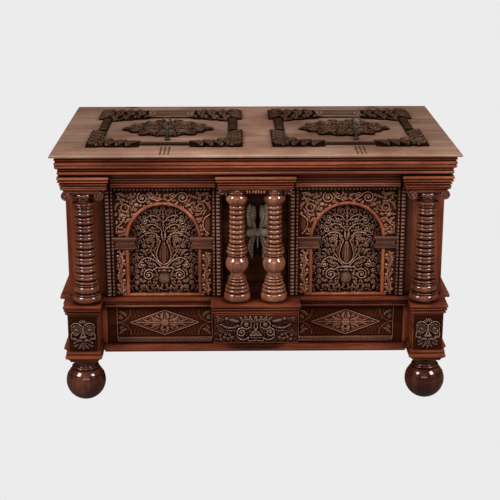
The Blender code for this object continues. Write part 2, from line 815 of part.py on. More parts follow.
def make_ledge_and_plinth():
    pedestal_inner = PEDESTAL_X - PEDESTAL_WIDTH / 2
    run_half = pedestal_inner - SEAT_GAP
    back = BOARD_FRONT - SEAT_GAP
    plinth_front = LID_FRONT + PLINTH_SETBACK
    ledge_front = LID_FRONT + LEDGE_SETBACK
    levels = ledge_levels(LEDGE_TOP, LEDGE_COVE_INSET + LEDGE_BAND_HEIGHT)
    run = moulded_block(
        "ledge_front", (-run_half, run_half), (ledge_front, back), levels, ("front",), OAK
    )
    centre = CENTRE_CAP_HALF_WIDTH
    notch = block(
        "ledge_notch",
        (-centre - SEAT_GAP, centre + SEAT_GAP),
        (LID_FRONT, plinth_front),
        (LEDGE_BOTTOM - LEDGE_HEIGHT, LEDGE_TOP + LEDGE_HEIGHT),
        OAK,
    )
    combine(run, notch, "DIFFERENCE")
    lap_posts(run)
    base_top = CARCASE_BOTTOM + BASE_HEIGHT
    block(
        "plinth_front",
        (-UNIT_OUTER, UNIT_OUTER),
        (plinth_front, back),
        (base_top + SEAT_GAP, LEDGE_BOTTOM - SEAT_GAP),
        CARVED,
    )
    block_levels = ledge_levels(LEDGE_TOP, CENTRE_BLOCK_INSET)
    block_levels.append((PAD_TOP + CENTRE_BLOCK_LIFT, CENTRE_BLOCK_INSET))
    moulded_block(
        "centre_block",
        (-centre, centre),
        (LID_FRONT + CENTRE_CAP_SETBACK, plinth_front - SEAT_GAP),
        block_levels,
        ("left", "right", "front"),
        CARVED,
    )
    base_levels = [
        (base_top, BASE_OGEE_INSET),
        (base_top - BASE_HEIGHT / 2, 0),
        (CARCASE_BOTTOM, 0),
    ]
    base = moulded_block(
        "base_moulding_front",
        (-run_half, run_half),
        (LID_FRONT + BASE_SETBACK, back),
        base_levels,
        ("front",),
        OAK,
    )
    lap_posts(base)
    for side in SIDES:
        along = (POST_FRONT, BACK_FACE)
        moulded_block(
            "ledge_" + side,
            mirrored(side, CARCASE_HALF + SEAT_GAP, CARCASE_HALF + SIDE_LEDGE_PROJECTION),
            along,
            levels,
            (side, "front"),
            OAK,
        )
        moulded_block(
            "base_moulding_" + side,
            mirrored(side, CARCASE_HALF + SEAT_GAP, CARCASE_HALF + SIDE_BASE_PROJECTION),
            along,
            base_levels,
            (side,),
            OAK,
        )


def make_pedestals():
    levels = ledge_levels(LEDGE_TOP, PEDESTAL_DIE_INSET)
    band_bottom = PAD_TOP - PAD_BAND_HEIGHT
    levels += [
        (PAD_TOP, PEDESTAL_DIE_INSET),
        (PAD_TOP, PAD_INSET),
        (band_bottom, PAD_INSET),
        (band_bottom - PAD_OGEE_HEIGHT / 2, PEDESTAL_DIE_INSET),
        (PAD_BOTTOM, PAD_FOOT_INSET),
    ]
    half = PEDESTAL_WIDTH / 2
    for side in SIDES:
        moulded_block(
            "pedestal_" + side,
            mirrored(side, PEDESTAL_X - half, PEDESTAL_X + half),
            (LID_FRONT + PEDESTAL_SETBACK, POST_FRONT - SEAT_GAP),
            levels,
            ("left", "right", "front"),
            OAK,
        )


def foot_profile(top):
    """Ball with a flat sole, a bead, and a neck that widens to its seat, from the top down."""
    bead_top = BALL_TOP_HEIGHT + FOOT_BEAD_HEIGHT
    points = [(0, top), (FOOT_SEAT_RADIUS, top), (FOOT_NECK_RADIUS, bead_top)]
    points += bead(bead_top, BALL_TOP_HEIGHT, FOOT_NECK_RADIUS, FOOT_BEAD_RADIUS)
    top_angle = math.degrees(math.asin((BALL_TOP_HEIGHT - BALL_CENTRE_HEIGHT) / BALL_RADIUS))
    sole_angle = math.degrees(math.asin(BALL_CENTRE_HEIGHT / BALL_RADIUS))
    points += arc((0, BALL_CENTRE_HEIGHT), BALL_RADIUS, top_angle, -sole_angle, BALL_STEPS)
    points.append((0, 0))
    return points


def make_feet():
    front_y = LID_FRONT + FOOT_SETBACK
    back_y = BACK_FACE - BACK_FOOT_INSET
    for side, sign in SIDES.items():
        x = sign * FOOT_X
        turned("foot_front_" + side, (x, front_y, 0), foot_profile(FOOT_HEIGHT), TURN_STEPS, OAK)
        back_profile = foot_profile(CARCASE_BOTTOM - SEAT_GAP)
        turned("foot_back_" + side, (x, back_y, 0), back_profile, TURN_STEPS, OAK)


def rim_levels():
    """Fillet, quarter-round and frieze of the lid's rim, from the top down."""
    ovolo_top = RIM_TOP - RIM_FILLET
    levels = [(RIM_TOP, 0), (ovolo_top, 0)]
    for index in range(1, 5):
        angle = math.pi / 2 * index / 4
        drop = RIM_OVOLO_HEIGHT * math.sin(angle)
        levels.append((ovolo_top - drop, RIM_OVOLO_INSET * (1 - math.cos(angle))))
    ovolo_bottom = ovolo_top - RIM_OVOLO_HEIGHT
    levels += [(ovolo_bottom, RIM_FRIEZE_INSET), (RIM_BOTTOM, RIM_FRIEZE_INSET)]
    return levels


def make_lid():
    half = LID_WIDTH / 2
    nosing_middle = (SLAB_TOP + SLAB_BOTTOM) / 2
    levels = [(SLAB_TOP, LID_NOSING), (nosing_middle, 0), (SLAB_BOTTOM, LID_NOSING / 2)]
    board = moulded_block(
        "lid_board",
        (-half, half),
        (LID_FRONT, -LID_FRONT),
        levels,
        ("left", "right", "front", "back"),
        LID_OAK,
    )
    for side, x in KEY_CENTRES.items():
        hole = cylinder(
            "keyhole_" + side,
            KEY_STEM_RADIUS + TURN_GAP,
            3 * LID_THICKNESS,
            (x, KEY_Y, nosing_middle),
            (0, 0, 0),
            TURN_STEPS,
            LID_OAK,
        )
        combine(board, hole, "DIFFERENCE")
    outer = half - RIM_OVERHANG
    inner = RIM_INNER
    front = LID_FRONT + RIM_OVERHANG
    width = outer - inner
    front_rings = []
    side_rings = []
    for height, inset in falling(rim_levels()):
        step = min(inset, width)
        ring = [
            (-outer + step, front + step),
            (outer - step, front + step),
            (inner, front + width),
            (inner, front + RIM_FRONT_DEPTH),
            (-inner, front + RIM_FRONT_DEPTH),
            (-inner, front + width),
        ]
        front_rings.append([(x, y, height) for x, y in ring])
        mitre = front + 2 * SEAT_GAP
        ring = [
            (outer - step, mitre + step),
            (outer - step, BACK_FACE),
            (inner, BACK_FACE),
            (inner, mitre + width),
        ]
        side_rings.append([(x, y, height) for x, y in ring])
    loft("lid_rim_front", front_rings, OAK)
    for side, sign in SIDES.items():
        rings = [[(sign * x, y, z) for x, y, z in ring] for ring in side_rings]
        loft("lid_rim_" + side, rings, OAK)


def eared_outline(half_width, front, back, ear):
    """Frame outline whose four corners project by ear beyond the straight sides."""
    shoulder_x = half_width - EAR_WIDTH
    front_shoulder = front + FRONT_EAR_LENGTH
    back_shoulder = back - BACK_EAR_LENGTH
    right = [
        (shoulder_x, front + ear),
        (shoulder_x, front),
        (half_width, front),
        (half_width, front_shoulder),
        (half_width - ear, front_shoulder),
        (half_width - ear, back_shoulder),
        (half_width, back_shoulder),
        (half_width, back),
        (shoulder_x, back),
        (shoulder_x, back - ear),
    ]
    return right + [(-x, y) for x, y in reversed(right)]


def bracketed_opening(half_width, front, back):
    """Inner outline of a lid frame, with a carved bracket in each corner."""
    right = [
        (half_width - BRACKET_WIDTH, front),
        (half_width - BRACKET_WIDTH / 4, front + FRONT_BRACKET_DEPTH / 2),
        (half_width, front + FRONT_BRACKET_DEPTH),
        (half_width, back - BACK_BRACKET_DEPTH),
        (half_width - BRACKET_WIDTH / 4, back - BACK_BRACKET_DEPTH / 2),
        (half_width - BRACKET_WIDTH, back),
    ]
    return right + [(-x, y) for x, y in reversed(right)]


def cartouche_forms():
    """Main forms of a cartouche: a middle boss, leaves that spread from it, and pointed ends."""
    forms = [(0, 0, 0.019, 0.017, 0)]
    for index in range(CARTOUCHE_LOBES):
        turn = 360 * index / CARTOUCHE_LOBES
        reach_x = CARTOUCHE_WIDTH / 2 * math.cos(math.radians(turn))
        reach_y = CARTOUCHE_DEPTH / 2 * math.sin(math.radians(turn))
        forms.append((0.68 * reach_x, 0.68 * reach_y, 0.024, 0.013, turn))
        between = turn + 180 / CARTOUCHE_LOBES
        reach_x = CARTOUCHE_WIDTH / 2 * math.cos(math.radians(between))
        reach_y = CARTOUCHE_DEPTH / 2 * math.sin(math.radians(between))
        forms.append((0.36 * reach_x, 0.36 * reach_y, 0.013, 0.009, between))
    return forms


def make_lid_ornament():
    seat = SLAB_TOP + SEAT_GAP
    front = LID_FRONT + LID_FRAME_SETBACK
    back = front + LID_FRAME_DEPTH
    half = LID_FRAME_WIDTH / 2
    hole = EAR_PROJECTION + LID_FRAME_STRIP
    inside = bracketed_opening(half - hole, front + hole, back - hole)
    outline = eared_outline(half, front, back, EAR_PROJECTION)
    lobed = []
    for index in range(CARTOUCHE_POINTS):
        angle = 2 * math.pi * index / CARTOUCHE_POINTS
        swell = 1 - CARTOUCHE_LOBE_SHARE * (1 - math.cos(CARTOUCHE_LOBES * angle))
        x = CARTOUCHE_WIDTH / 2 * swell * math.cos(angle)
        y = CARTOUCHE_DEPTH / 2 * swell * math.sin(angle)
        lobed.append((x, y))
    for side, x in LID_FRAME_CENTRES.items():
        flat_shape(
            "lid_frame_" + side,
            [outline, inside],
            LID_FRAME_HEIGHT,
            (x, 0, seat + LID_FRAME_HEIGHT / 2),
            (0, 0, 0),
            CARVED,
        )
        centre_y = LID_FRONT + CARTOUCHE_SETBACK
        cartouche = flat_shape(
            "lid_cartouche_" + side,
            [lobed],
            CARTOUCHE_GROUND,
            (x, centre_y, seat + CARTOUCHE_GROUND / 2),
            (0, 0, 0),
            CARVED,
        )
        ground = (x, centre_y, seat + CARTOUCHE_GROUND)
        rise = CARTOUCHE_HEIGHT - CARTOUCHE_GROUND
        add_carving(cartouche, cartouche_forms(), rise, ground, (0, 0, 0))


def make_key(side, x):
    """Oval bow, collar and round stem, with a flat bit inside the lock; it turns about its stem."""
    collar_bottom = SLAB_TOP + SEAT_GAP
    stem_top = SLAB_TOP + KEY_STEM_RISE
    collar_top = collar_bottom + KEY_COLLAR_HEIGHT
    profile = [
        (0, stem_top),
        (KEY_STEM_RADIUS, stem_top),
        (KEY_STEM_RADIUS, collar_top),
        (KEY_COLLAR_RADIUS, collar_top),
        (KEY_COLLAR_RADIUS, collar_bottom),
        (KEY_STEM_RADIUS, collar_bottom),
        (KEY_STEM_RADIUS, BIT_BOTTOM),
        (0, BIT_BOTTOM),
    ]
    key = turned("key_" + side, (x, KEY_Y, 0), profile, 12, IRON)
    bpy.ops.mesh.primitive_torus_add(
        major_segments=20,
        minor_segments=8,
        major_radius=BOW_WIDTH / 2 - BOW_WIRE_RADIUS,
        minor_radius=BOW_WIRE_RADIUS,
    )
    ring = bpy.context.active_object
    mesh = ring.data
    bpy.data.objects.remove(ring, do_unlink=True)
    for vertex in mesh.vertices:
        vertex.co.y *= BOW_HEIGHT / BOW_WIDTH
    bow_centre = stem_top + BOW_HEIGHT / 2 - BOW_WIRE_RADIUS
    bow = place("bow_" + side, mesh, IRON, (x, KEY_Y, bow_centre), FACING_FRONT)
    combine(key, bow, "UNION")
    bit = block(
        "bit_" + side,
        (x, x + BIT_REACH),
        (KEY_Y - BIT_THICKNESS / 2, KEY_Y + BIT_THICKNESS / 2),
        (BIT_BOTTOM + SEAT_GAP, BIT_BOTTOM + BIT_HEIGHT),
        IRON,
    )
    combine(key, bit, "UNION")


def make_lock(side, x):
    """Case open at the top against the lid, with a front slot for the bolt."""
    top = SLAB_BOTTOM - SEAT_GAP
    wall = LOCK_WALL
    case = block(
        "lock_case_" + side,
        (x - LOCK_HALF_WIDTH, x + LOCK_HALF_WIDTH),
        (KEY_Y - LOCK_FRONT, KEY_Y + LOCK_BACK),
        (LOCK_BOTTOM, top),
        IRON,
    )
    pocket = block(
        "lock_pocket_" + side,
        (x - LOCK_HALF_WIDTH + wall, x + LOCK_HALF_WIDTH - wall),
        (KEY_Y - LOCK_FRONT + wall, KEY_Y + LOCK_BACK - wall),
        (LOCK_BOTTOM + wall, top + wall),
        IRON,
    )
    combine(case, pocket, "DIFFERENCE")
    bolt_range = (x + BOLT_SIDE_OFFSET, x + BOLT_SIDE_OFFSET + BOLT_WIDTH)
    slot = block(
        "bolt_slot_" + side,
        (bolt_range[0] - SEAT_GAP, bolt_range[1] + SEAT_GAP),
        (KEY_Y - LOCK_FRONT - wall, KEY_Y - LOCK_FRONT + 2 * wall),
        (LOCK_BOTTOM + wall, BOLT_TOP + SEAT_GAP),
        IRON,
    )
    combine(case, slot, "DIFFERENCE")
    talon_top = BOLT_TOP + TALON_HEIGHT
    outline = [
        (-LOCK_FRONT, BOLT_BOTTOM),
        (BOLT_TAIL, BOLT_BOTTOM),
        (BOLT_TAIL, BOLT_TOP),
        (TALON_BACK + TALON_WALL, BOLT_TOP),
        (TALON_BACK + TALON_WALL, talon_top),
        (TALON_BACK, talon_top),
        (TALON_BACK, BOLT_TOP),
        (-TALON_FRONT, BOLT_TOP),
        (-TALON_FRONT, talon_top),
        (-TALON_FRONT - TALON_WALL, talon_top),
        (-TALON_FRONT - TALON_WALL, BOLT_TOP),
        (-LOCK_FRONT, BOLT_TOP),
    ]
    middle = sum(bolt_range) / 2
    flat_shape("bolt_" + side, [outline], BOLT_WIDTH, (middle, KEY_Y, 0), ALONG_X, IRON)


def make_locks():
    for side, x in KEY_CENTRES.items():
        make_key(side, x)
        make_lock(side, x)
    block(
        "keeper_rail",
        (-KEEPER_LENGTH / 2, KEEPER_LENGTH / 2),
        (BOARD_INNER + SEAT_GAP, BOARD_INNER + KEEPER_DEPTH),
        (KEEPER_BOTTOM, CARCASE_TOP),
        IRON,
    )


def knuckle_outline(plate_end):
    """A knuckle with a hinge plate level with its top, running forward, seen along its pin."""
    inner = KNUCKLE_RADIUS - HINGE_PLATE
    round_part = arc((0, 0), KNUCKLE_RADIUS, 90, -180, KNUCKLE_STEPS)
    return round_part + [(-KNUCKLE_RADIUS, inner), (-plate_end, inner), (-plate_end, KNUCKLE_RADIUS)]


def make_hinge(side, x):
    """Strap under the lid, leaf on the back board, and the pin that joins them."""
    axis = (x, HINGE_Y, HINGE_Z)
    drill_radius = PIN_RADIUS + TURN_GAP / 2
    strap = flat_shape(
        "hinge_strap_" + side, [knuckle_outline(STRAP_LENGTH)], STRAP_WIDTH, axis, ALONG_X, IRON
    )
    leaf_outline = [(-z, y) for y, z in knuckle_outline(LEAF_LENGTH)]
    leaf = flat_shape("hinge_leaf_" + side, [leaf_outline], LEAF_WIDTH, axis, ALONG_X, IRON)
    half_notch = STRAP_WIDTH / 2 + SEAT_GAP
    reach = 2 * KNUCKLE_RADIUS
    notch = block(
        "leaf_notch_" + side,
        (x - half_notch, x + half_notch),
        (HINGE_Y - reach, HINGE_Y + reach),
        (HINGE_Z - KNUCKLE_RADIUS - SEAT_GAP, HINGE_Z + reach),
        IRON,
    )
    combine(leaf, notch, "DIFFERENCE")
    for piece in (strap, leaf):
        drill = cylinder(
            "pin_hole_" + piece.name,
            drill_radius,
            2 * LEAF_WIDTH,
            axis,
            (0, math.pi / 2, 0),
            KNUCKLE_STEPS,
            IRON,
        )
        combine(piece, drill, "DIFFERENCE")
    length = LEAF_WIDTH + 4 * SEAT_GAP
    pin = cylinder(
        "hinge_pin_" + side, PIN_RADIUS, length, axis, (0, math.pi / 2, 0), KNUCKLE_STEPS, IRON
    )
    for end in (-1, 1):
        head = cylinder(
            "pin_head_{}_{}".format(side, end),
            PIN_HEAD_RADIUS,
            PIN_HEAD_HEIGHT,
            (x + end * ((length + PIN_HEAD_HEIGHT) / 2 - SEAT_GAP), HINGE_Y, HINGE_Z),
            (0, math.pi / 2, 0),
            KNUCKLE_STEPS,
            IRON,
        )
        combine(pin, head, "UNION")


def make_hinges():
    for side, sign in SIDES.items():
        make_hinge(side, sign * (CARCASE_HALF - HINGE_INSET))


make_carcase()
make_cornice()
make_arch_units()
make_columns()
make_small_columns()
make_ledge_and_plinth()
make_pedestals()
make_feet()
make_lid()
make_lid_ornament()
make_locks()
make_hinges()
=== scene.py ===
import json
import math

import bmesh
import bpy
import numpy as np
from mathutils import Matrix, Vector


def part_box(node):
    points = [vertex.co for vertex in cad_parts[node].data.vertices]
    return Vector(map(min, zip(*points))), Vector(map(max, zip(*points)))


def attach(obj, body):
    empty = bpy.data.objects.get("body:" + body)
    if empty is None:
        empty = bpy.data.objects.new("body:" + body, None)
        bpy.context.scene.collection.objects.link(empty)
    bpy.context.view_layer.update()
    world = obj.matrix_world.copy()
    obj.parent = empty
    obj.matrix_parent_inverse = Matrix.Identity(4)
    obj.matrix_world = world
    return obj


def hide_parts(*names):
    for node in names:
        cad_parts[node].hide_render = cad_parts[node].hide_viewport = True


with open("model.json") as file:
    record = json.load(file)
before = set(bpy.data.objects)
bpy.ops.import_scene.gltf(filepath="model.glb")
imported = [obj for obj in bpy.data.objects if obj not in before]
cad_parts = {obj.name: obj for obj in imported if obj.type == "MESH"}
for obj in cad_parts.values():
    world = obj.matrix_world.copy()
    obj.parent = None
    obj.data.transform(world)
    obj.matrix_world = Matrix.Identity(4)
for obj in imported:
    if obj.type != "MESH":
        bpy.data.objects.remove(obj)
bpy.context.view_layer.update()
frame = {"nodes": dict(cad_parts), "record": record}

# Fineness: millimetres between the grid points of a carved face, and sides of a turned piece
CARVING_STEP = 0.8
LID_CARVING_STEP = 1.1
TURNING_STEPS = 72
MM = 0.001

BODY_OF = {
    node: body for body, nodes in frame["record"]["behaviour"]["bodies"].items() for node in nodes
}
SIDES = {"left": -1, "right": 1}


# Camera: place, aim and focal length that match the photograph
CAMERA_PLACE = (-0.0524, -3.3403, 1.3309)
CAMERA_YAW = 0.0125
CAMERA_PITCH = 0.2949
CAMERA_ROLL = -0.0008
CAMERA_LENS = 92.44


def box_of(*nodes):
    """Lowest and highest corner of one or more CAD nodes, as two arrays."""
    corners = [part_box(node) for node in nodes]
    low = np.min([np.array(pair[0]) for pair in corners], axis=0)
    high = np.max([np.array(pair[1]) for pair in corners], axis=0)
    return low, high


def show(name, mesh, material, node, replaced=None, smooth_angle=None):
    """Make a mesh a visible piece that rides with a CAD node's body.

    It stands for that node, or for the nodes given, which may be none.
    """
    replaced = (node,) if replaced is None else replaced
    mesh.materials.clear()
    mesh.materials.append(material)
    piece = bpy.data.objects.new(name, mesh)
    bpy.context.scene.collection.objects.link(piece)
    mesh.polygons.foreach_set("use_smooth", [True] * len(mesh.polygons))
    if smooth_angle is not None:
        mesh.set_sharp_from_angle(angle=math.radians(smooth_angle))
    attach(piece, BODY_OF[node])
    if replaced:
        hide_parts(*replaced)
    return piece


def soften(piece, width=0.0008, segments=2, angle=35):
    """Round the sharp edges of a joiner's piece."""
    bevel = piece.modifiers.new("worn_edges", "BEVEL")
    bevel.width = width
    bevel.segments = segments
    bevel.limit_method = "ANGLE"
    bevel.angle_limit = math.radians(angle)
    return piece


def mesh_of(name, points, faces):
    mesh = bpy.data.meshes.new(name)
    mesh.from_pydata([tuple(point) for point in points], [], faces)
    mesh.validate()
    return mesh


def dress(node, material, width=0.0008):
    """A copy of a CAD node with worn edges and a finish of its own."""
    source = frame["nodes"][node]
    mesh = source.data.copy()
    mesh.transform(source.matrix_world)
    mesh.name = node + "_dressed"
    piece = show(node + "_dressed", mesh, material, node, smooth_angle=35)
    return soften(piece, width)


def feed(tree, node, inputs):
    """Give each named input of a node a value or another node's output."""
    for key, value in inputs.items():
        if isinstance(value, bpy.types.NodeSocket):
            tree.links.new(value, node.inputs[key])
        else:
            node.inputs[key].default_value = value


def add_node(tree, kind, inputs=None, **settings):
    node = tree.nodes.new(kind)
    for key, value in settings.items():
        setattr(node, key, value)
    feed(tree, node, inputs or {})
    return node


class Finish:
    """One procedural material, put together node by node."""

    def __init__(self, name):
        self.material = bpy.data.materials.new(name)
        self.material.use_nodes = True
        self.tree = self.material.node_tree
        self.shader = self.tree.nodes["Principled BSDF"]
        self.coordinates = self.add("ShaderNodeTexCoord").outputs["Object"]

    def add(self, kind, inputs=None, **settings):
        return add_node(self.tree, kind, inputs, **settings)

    def set(self, inputs):
        feed(self.tree, self.shader, inputs)

    def noise(self, stretch, detail=5.0, roughness=0.6, distortion=0.0, shift=0.0):
        """Noise whose features are 1/stretch metres long on each axis."""
        mapping = self.add(
            "ShaderNodeMapping",
            {"Vector": self.coordinates, "Scale": stretch, "Location": (shift, shift, shift)},
        )
        texture = self.add(
            "ShaderNodeTexNoise",
            {
                "Vector": mapping.outputs["Vector"],
                "Scale": 1.0,
                "Detail": detail,
                "Roughness": roughness,
                "Distortion": distortion,
            },
        )
        return texture.outputs["Fac"]

    def ramp(self, value, stops):
        """Colours along a value, from (place, colour) stops."""
        node = self.add("ShaderNodeValToRGB", {"Fac": value})
        elements = node.color_ramp.elements
        while len(elements) < len(stops):
            elements.new(0.5)
        for element, (place, colour) in zip(elements, stops):
            element.position = place
            element.color = (*colour, 1.0)
        return node.outputs["Color"]

    def level(self, value, low, high, new_low, new_high):
        """Stretch a value's range from low..high to a new range, clamped."""
        node = self.add(
            "ShaderNodeMapRange",
            {"Value": value, "From Min": low, "From Max": high, "To Min": new_low, "To Max": new_high},
        )
        return node.outputs["Result"]

    def sum(self, first, second):
        return self.add("ShaderNodeMath", {0: first, 1: second}, operation="ADD").outputs[0]

    def product(self, first, second):
        return self.add("ShaderNodeMath", {0: first, 1: second}, operation="MULTIPLY").outputs[0]

    def mix(self, share, first, second, blend="MIX"):
        """Two colours mixed; inputs 6 and 7 and output 2 are the node's sockets for colours."""
        inputs = {0: share, 6: first, 7: second}
        return self.add("ShaderNodeMix", inputs, data_type="RGBA", blend_type=blend).outputs[2]

    def shade(self, colour, value):
        """A colour darkened by a 0..1 value; it turns redder as it darkens. It serves for blotches and
        pores, and for the painted shade in recesses.
        """
        stops = [(0.0, (0, 0, 0)), (0.5, (0.5, 0.36, 0.29)), (1.0, (1, 1, 1))]
        return self.mix(1.0, colour, self.ramp(value, stops), "MULTIPLY")

    def across(self, axis, low, high, new_low, new_high):
        """A value that changes along one axis of the object."""
        parts = self.add("ShaderNodeSeparateXYZ", {"Vector": self.coordinates})
        return self.level(parts.outputs[axis], low, high, new_low, new_high)

    def painted_hollow_shade(self, distance, darkest):
        """Painted shade from ambient occlusion: 1 on open surfaces and down to darkest inside recesses."""
        node = self.add("ShaderNodeAmbientOcclusion", {"Distance": distance}, samples=6)
        return self.level(node.outputs["AO"], 0.30, 0.90, darkest, 1.0)

    def bump(self, height, distance, strength, under=None):
        inputs = {"Height": height, "Distance": distance, "Strength": strength}
        if under is not None:
            inputs["Normal"] = under
        return self.add("ShaderNodeBump", inputs).outputs["Normal"]


# Places of an oak's three tones along its figure, and the colour of rust on the iron
TONE_STOPS = (0.06, 0.48, 0.94)
RUST = (0.09, 0.035, 0.014, 1.0)


def along(axis, long, across):
    """A stretch for noise that runs with the grain of the named axis."""
    return tuple(long if name == axis else across for name in "XYZ")


def wood(name, tones, axis, gloss=0.40, coat=0.25, hollow=0.08, carved=False, shine=0.02, reach=0.016,
         sheen_front_tone=None, polish=0.15):
    """Old waxed oak: streaked grain, fibres, blotches, painted shade in recesses and a worn polish."""
    made = Finish(name)
    grain = made.noise(along(axis, 2.2, 38.0), detail=7.0, roughness=0.62, distortion=0.5)
    fibres = made.noise(along(axis, 22.0, 620.0), detail=3.0, roughness=0.7, shift=3.1)
    blotches = made.noise((6.0, 6.0, 6.0), detail=4.0, roughness=0.55, shift=7.7)
    pores = made.noise(along(axis, 60.0, 1500.0), detail=1.0, shift=5.3)
    figure = made.sum(made.level(grain, 0.3, 0.7, 0.0, 0.62), made.level(fibres, 0.25, 0.75, 0.0, 0.38))
    if carved:
        # The relief attribute paints highlights on the carving's tops and shade in its ground and recesses
        height = made.add("ShaderNodeAttribute", attribute_name="relief").outputs["Fac"]
        figure = made.sum(made.product(figure, 0.26), made.product(height, 0.80))
        coat = made.level(height, 0.45, 0.85, 0.0, coat)
    colour = made.ramp(figure, list(zip(TONE_STOPS, tones)))
    if sheen_front_tone:
        # Painted sheen: lighter along the front edge, less towards its ends, and in a patch at the middle
        faded = made.ramp(figure, list(zip(TONE_STOPS, (*tones[1:], sheen_front_tone))))
        front = made.across("Y", -0.29, -0.22, 1.0, 0.0)
        left_end = made.across("X", -0.45, -0.10, 0.35, 1.0)
        right_end = made.across("X", 0.05, 0.42, 1.0, 0.45)
        colour = made.mix(made.product(front, made.product(left_end, right_end)), colour, faded)
        left_part = made.across("X", -0.11, -0.02, 0.0, 0.55)
        right_part = made.across("X", 0.02, 0.11, 1.0, 0.0)
        colour = made.mix(made.product(left_part, right_part), colour, faded)
    colour = made.shade(colour, made.level(blotches, 0.3, 0.7, 0.52, 1.04))
    colour = made.shade(colour, made.level(pores, 0.3, 0.45, 0.72, 1.0))
    # Painted shade: darker in recesses that ambient occlusion finds within reach, down to the hollow level
    colour = made.shade(colour, made.painted_hollow_shade(reach, hollow))
    uneven = made.bump(made.noise((90.0, 90.0, 90.0), shift=1.7), 0.0012, 0.22)
    made.set({
        "Base Color": colour,
        "Roughness": made.level(made.sum(fibres, blotches), 0.7, 1.3, gloss - 0.09, gloss + 0.12),
        "Specular IOR Level": shine,
        "Coat Weight": coat,
        "Coat Roughness": polish,
        "Normal": made.bump(fibres, 0.0004, 0.35, uneven),
    })
    return made.material


def iron(name, tone, gloss):
    """Forged iron: dark, uneven and slightly rusted, with painted shade in its recesses."""
    made = Finish(name)
    mottle = made.noise((140.0, 140.0, 140.0), detail=6.0, roughness=0.65)
    rust = made.noise((35.0, 35.0, 35.0), detail=5.0, shift=4.2)
    colour = made.ramp(mottle, [(0.3, [0.5 * c for c in tone]), (0.7, tone)])
    colour = made.mix(made.level(rust, 0.56, 0.72, 0.0, 0.6), colour, RUST)
    # Painted shade in the recesses of the iron
    colour = made.shade(colour, made.painted_hollow_shade(0.008, 0.4))
    made.set({
        "Base Color": colour,
        "Metallic": made.level(rust, 0.5, 0.7, 0.85, 0.4),
        "Roughness": made.level(mottle, 0.3, 0.7, gloss, gloss + 0.2),
        "Normal": made.bump(mottle, 0.0006, 0.4),
    })
    return made.material


# Tones of each oak: its dark streaks, its broad faces and its light streaks; on carved pieces the dark tone
# is painted shade in the ground and recesses, and the light tone a painted highlight on the tops
RED_OAK = ((0.045, 0.007, 0.0025), (0.175, 0.042, 0.0180), (0.330, 0.110, 0.056))
BROWN_OAK = ((0.028, 0.006, 0.002), (0.112, 0.033, 0.016), (0.240, 0.105, 0.062))
DARK_OAK = ((0.009, 0.0025, 0.001), (0.062, 0.020, 0.010), (0.400, 0.230, 0.165))
SPANDREL_OAK = ((0.022, 0.006, 0.003), (0.135, 0.043, 0.021), (0.430, 0.230, 0.150))
ORANGE_OAK = ((0.060, 0.015, 0.006), (0.250, 0.072, 0.030), (0.460, 0.165, 0.080))
PALE_OAK = ((0.110, 0.062, 0.041), (0.190, 0.112, 0.078), (0.300, 0.170, 0.118))
# Lighter lid tone for the painted sheen along its front and middle
SHEEN_PALE_OAK = (0.420, 0.235, 0.160)
# Painted light: a lighter copy of the red oak for the cornice runs, which lie in the shade under the lid's
# rim
LIT_CORNICE_OAK = ((0.060, 0.010, 0.004), (0.250, 0.064, 0.028), (0.450, 0.165, 0.085))
# Painted shade: a darker copy of the red oak for the ledge, the base moulding, the pedestals and the centre
# block
SHADED_LEDGE_OAK = ((0.032, 0.005, 0.0015), (0.130, 0.029, 0.012), (0.290, 0.090, 0.044))
GOLDEN_OAK = ((0.050, 0.013, 0.005), (0.200, 0.072, 0.036), (0.400, 0.195, 0.120))
BALL_OAK = ((0.014, 0.002, 0.0005), (0.056, 0.0125, 0.005), (0.130, 0.045, 0.022))
IMPOST_OAK = ((0.018, 0.005, 0.002), (0.080, 0.026, 0.013), (0.190, 0.075, 0.042))
PLINTH_OAK = ((0.009, 0.0015, 0.0005), (0.082, 0.020, 0.009), (0.310, 0.170, 0.118))
MASK_OAK = ((0.008, 0.002, 0.001), (0.040, 0.012, 0.006), (0.270, 0.160, 0.120))
# Tone of the thin dark lines on the lid in front of the keys
DARK_LINE_OAK = ((0.04, 0.016, 0.009), (0.10, 0.045, 0.028), (0.17, 0.085, 0.055))
BLACK_OAK = ((0.003, 0.001, 0.0005), (0.015, 0.006, 0.003), (0.130, 0.076, 0.050))
# Grey-green is the niche ornament's own colour; it is made paler as painted light where the deep niche
# leaves it in shade
MOSS_OAK = ((0.030, 0.023, 0.014), (0.260, 0.215, 0.155), (0.720, 0.640, 0.520))
# Painted shade: a dark copy of the plain oak for the front board, which shows at the back of the niche
SHADED_OAK = ((0.006, 0.002, 0.001), (0.036, 0.011, 0.005), (0.100, 0.040, 0.022))
FORGED = (0.045, 0.036, 0.028)

# Finishes of the joiner's work, the turned work, the carving, the lid and the iron
OAK_ACROSS = wood("waxed_oak_across", RED_OAK, "X", hollow=0.05, reach=0.022)
OAK_BACKWARD = wood("waxed_oak_backward", RED_OAK, "Y", hollow=0.05, reach=0.022)
OAK_UPRIGHT = wood("waxed_oak_upright", RED_OAK, "Z")
# Painted light: lighter oak for the cornice runs under the lid's rim
OAK_CORNICE = wood("waxed_cornice_oak_painted_light", LIT_CORNICE_OAK, "X", hollow=0.10, reach=0.022)
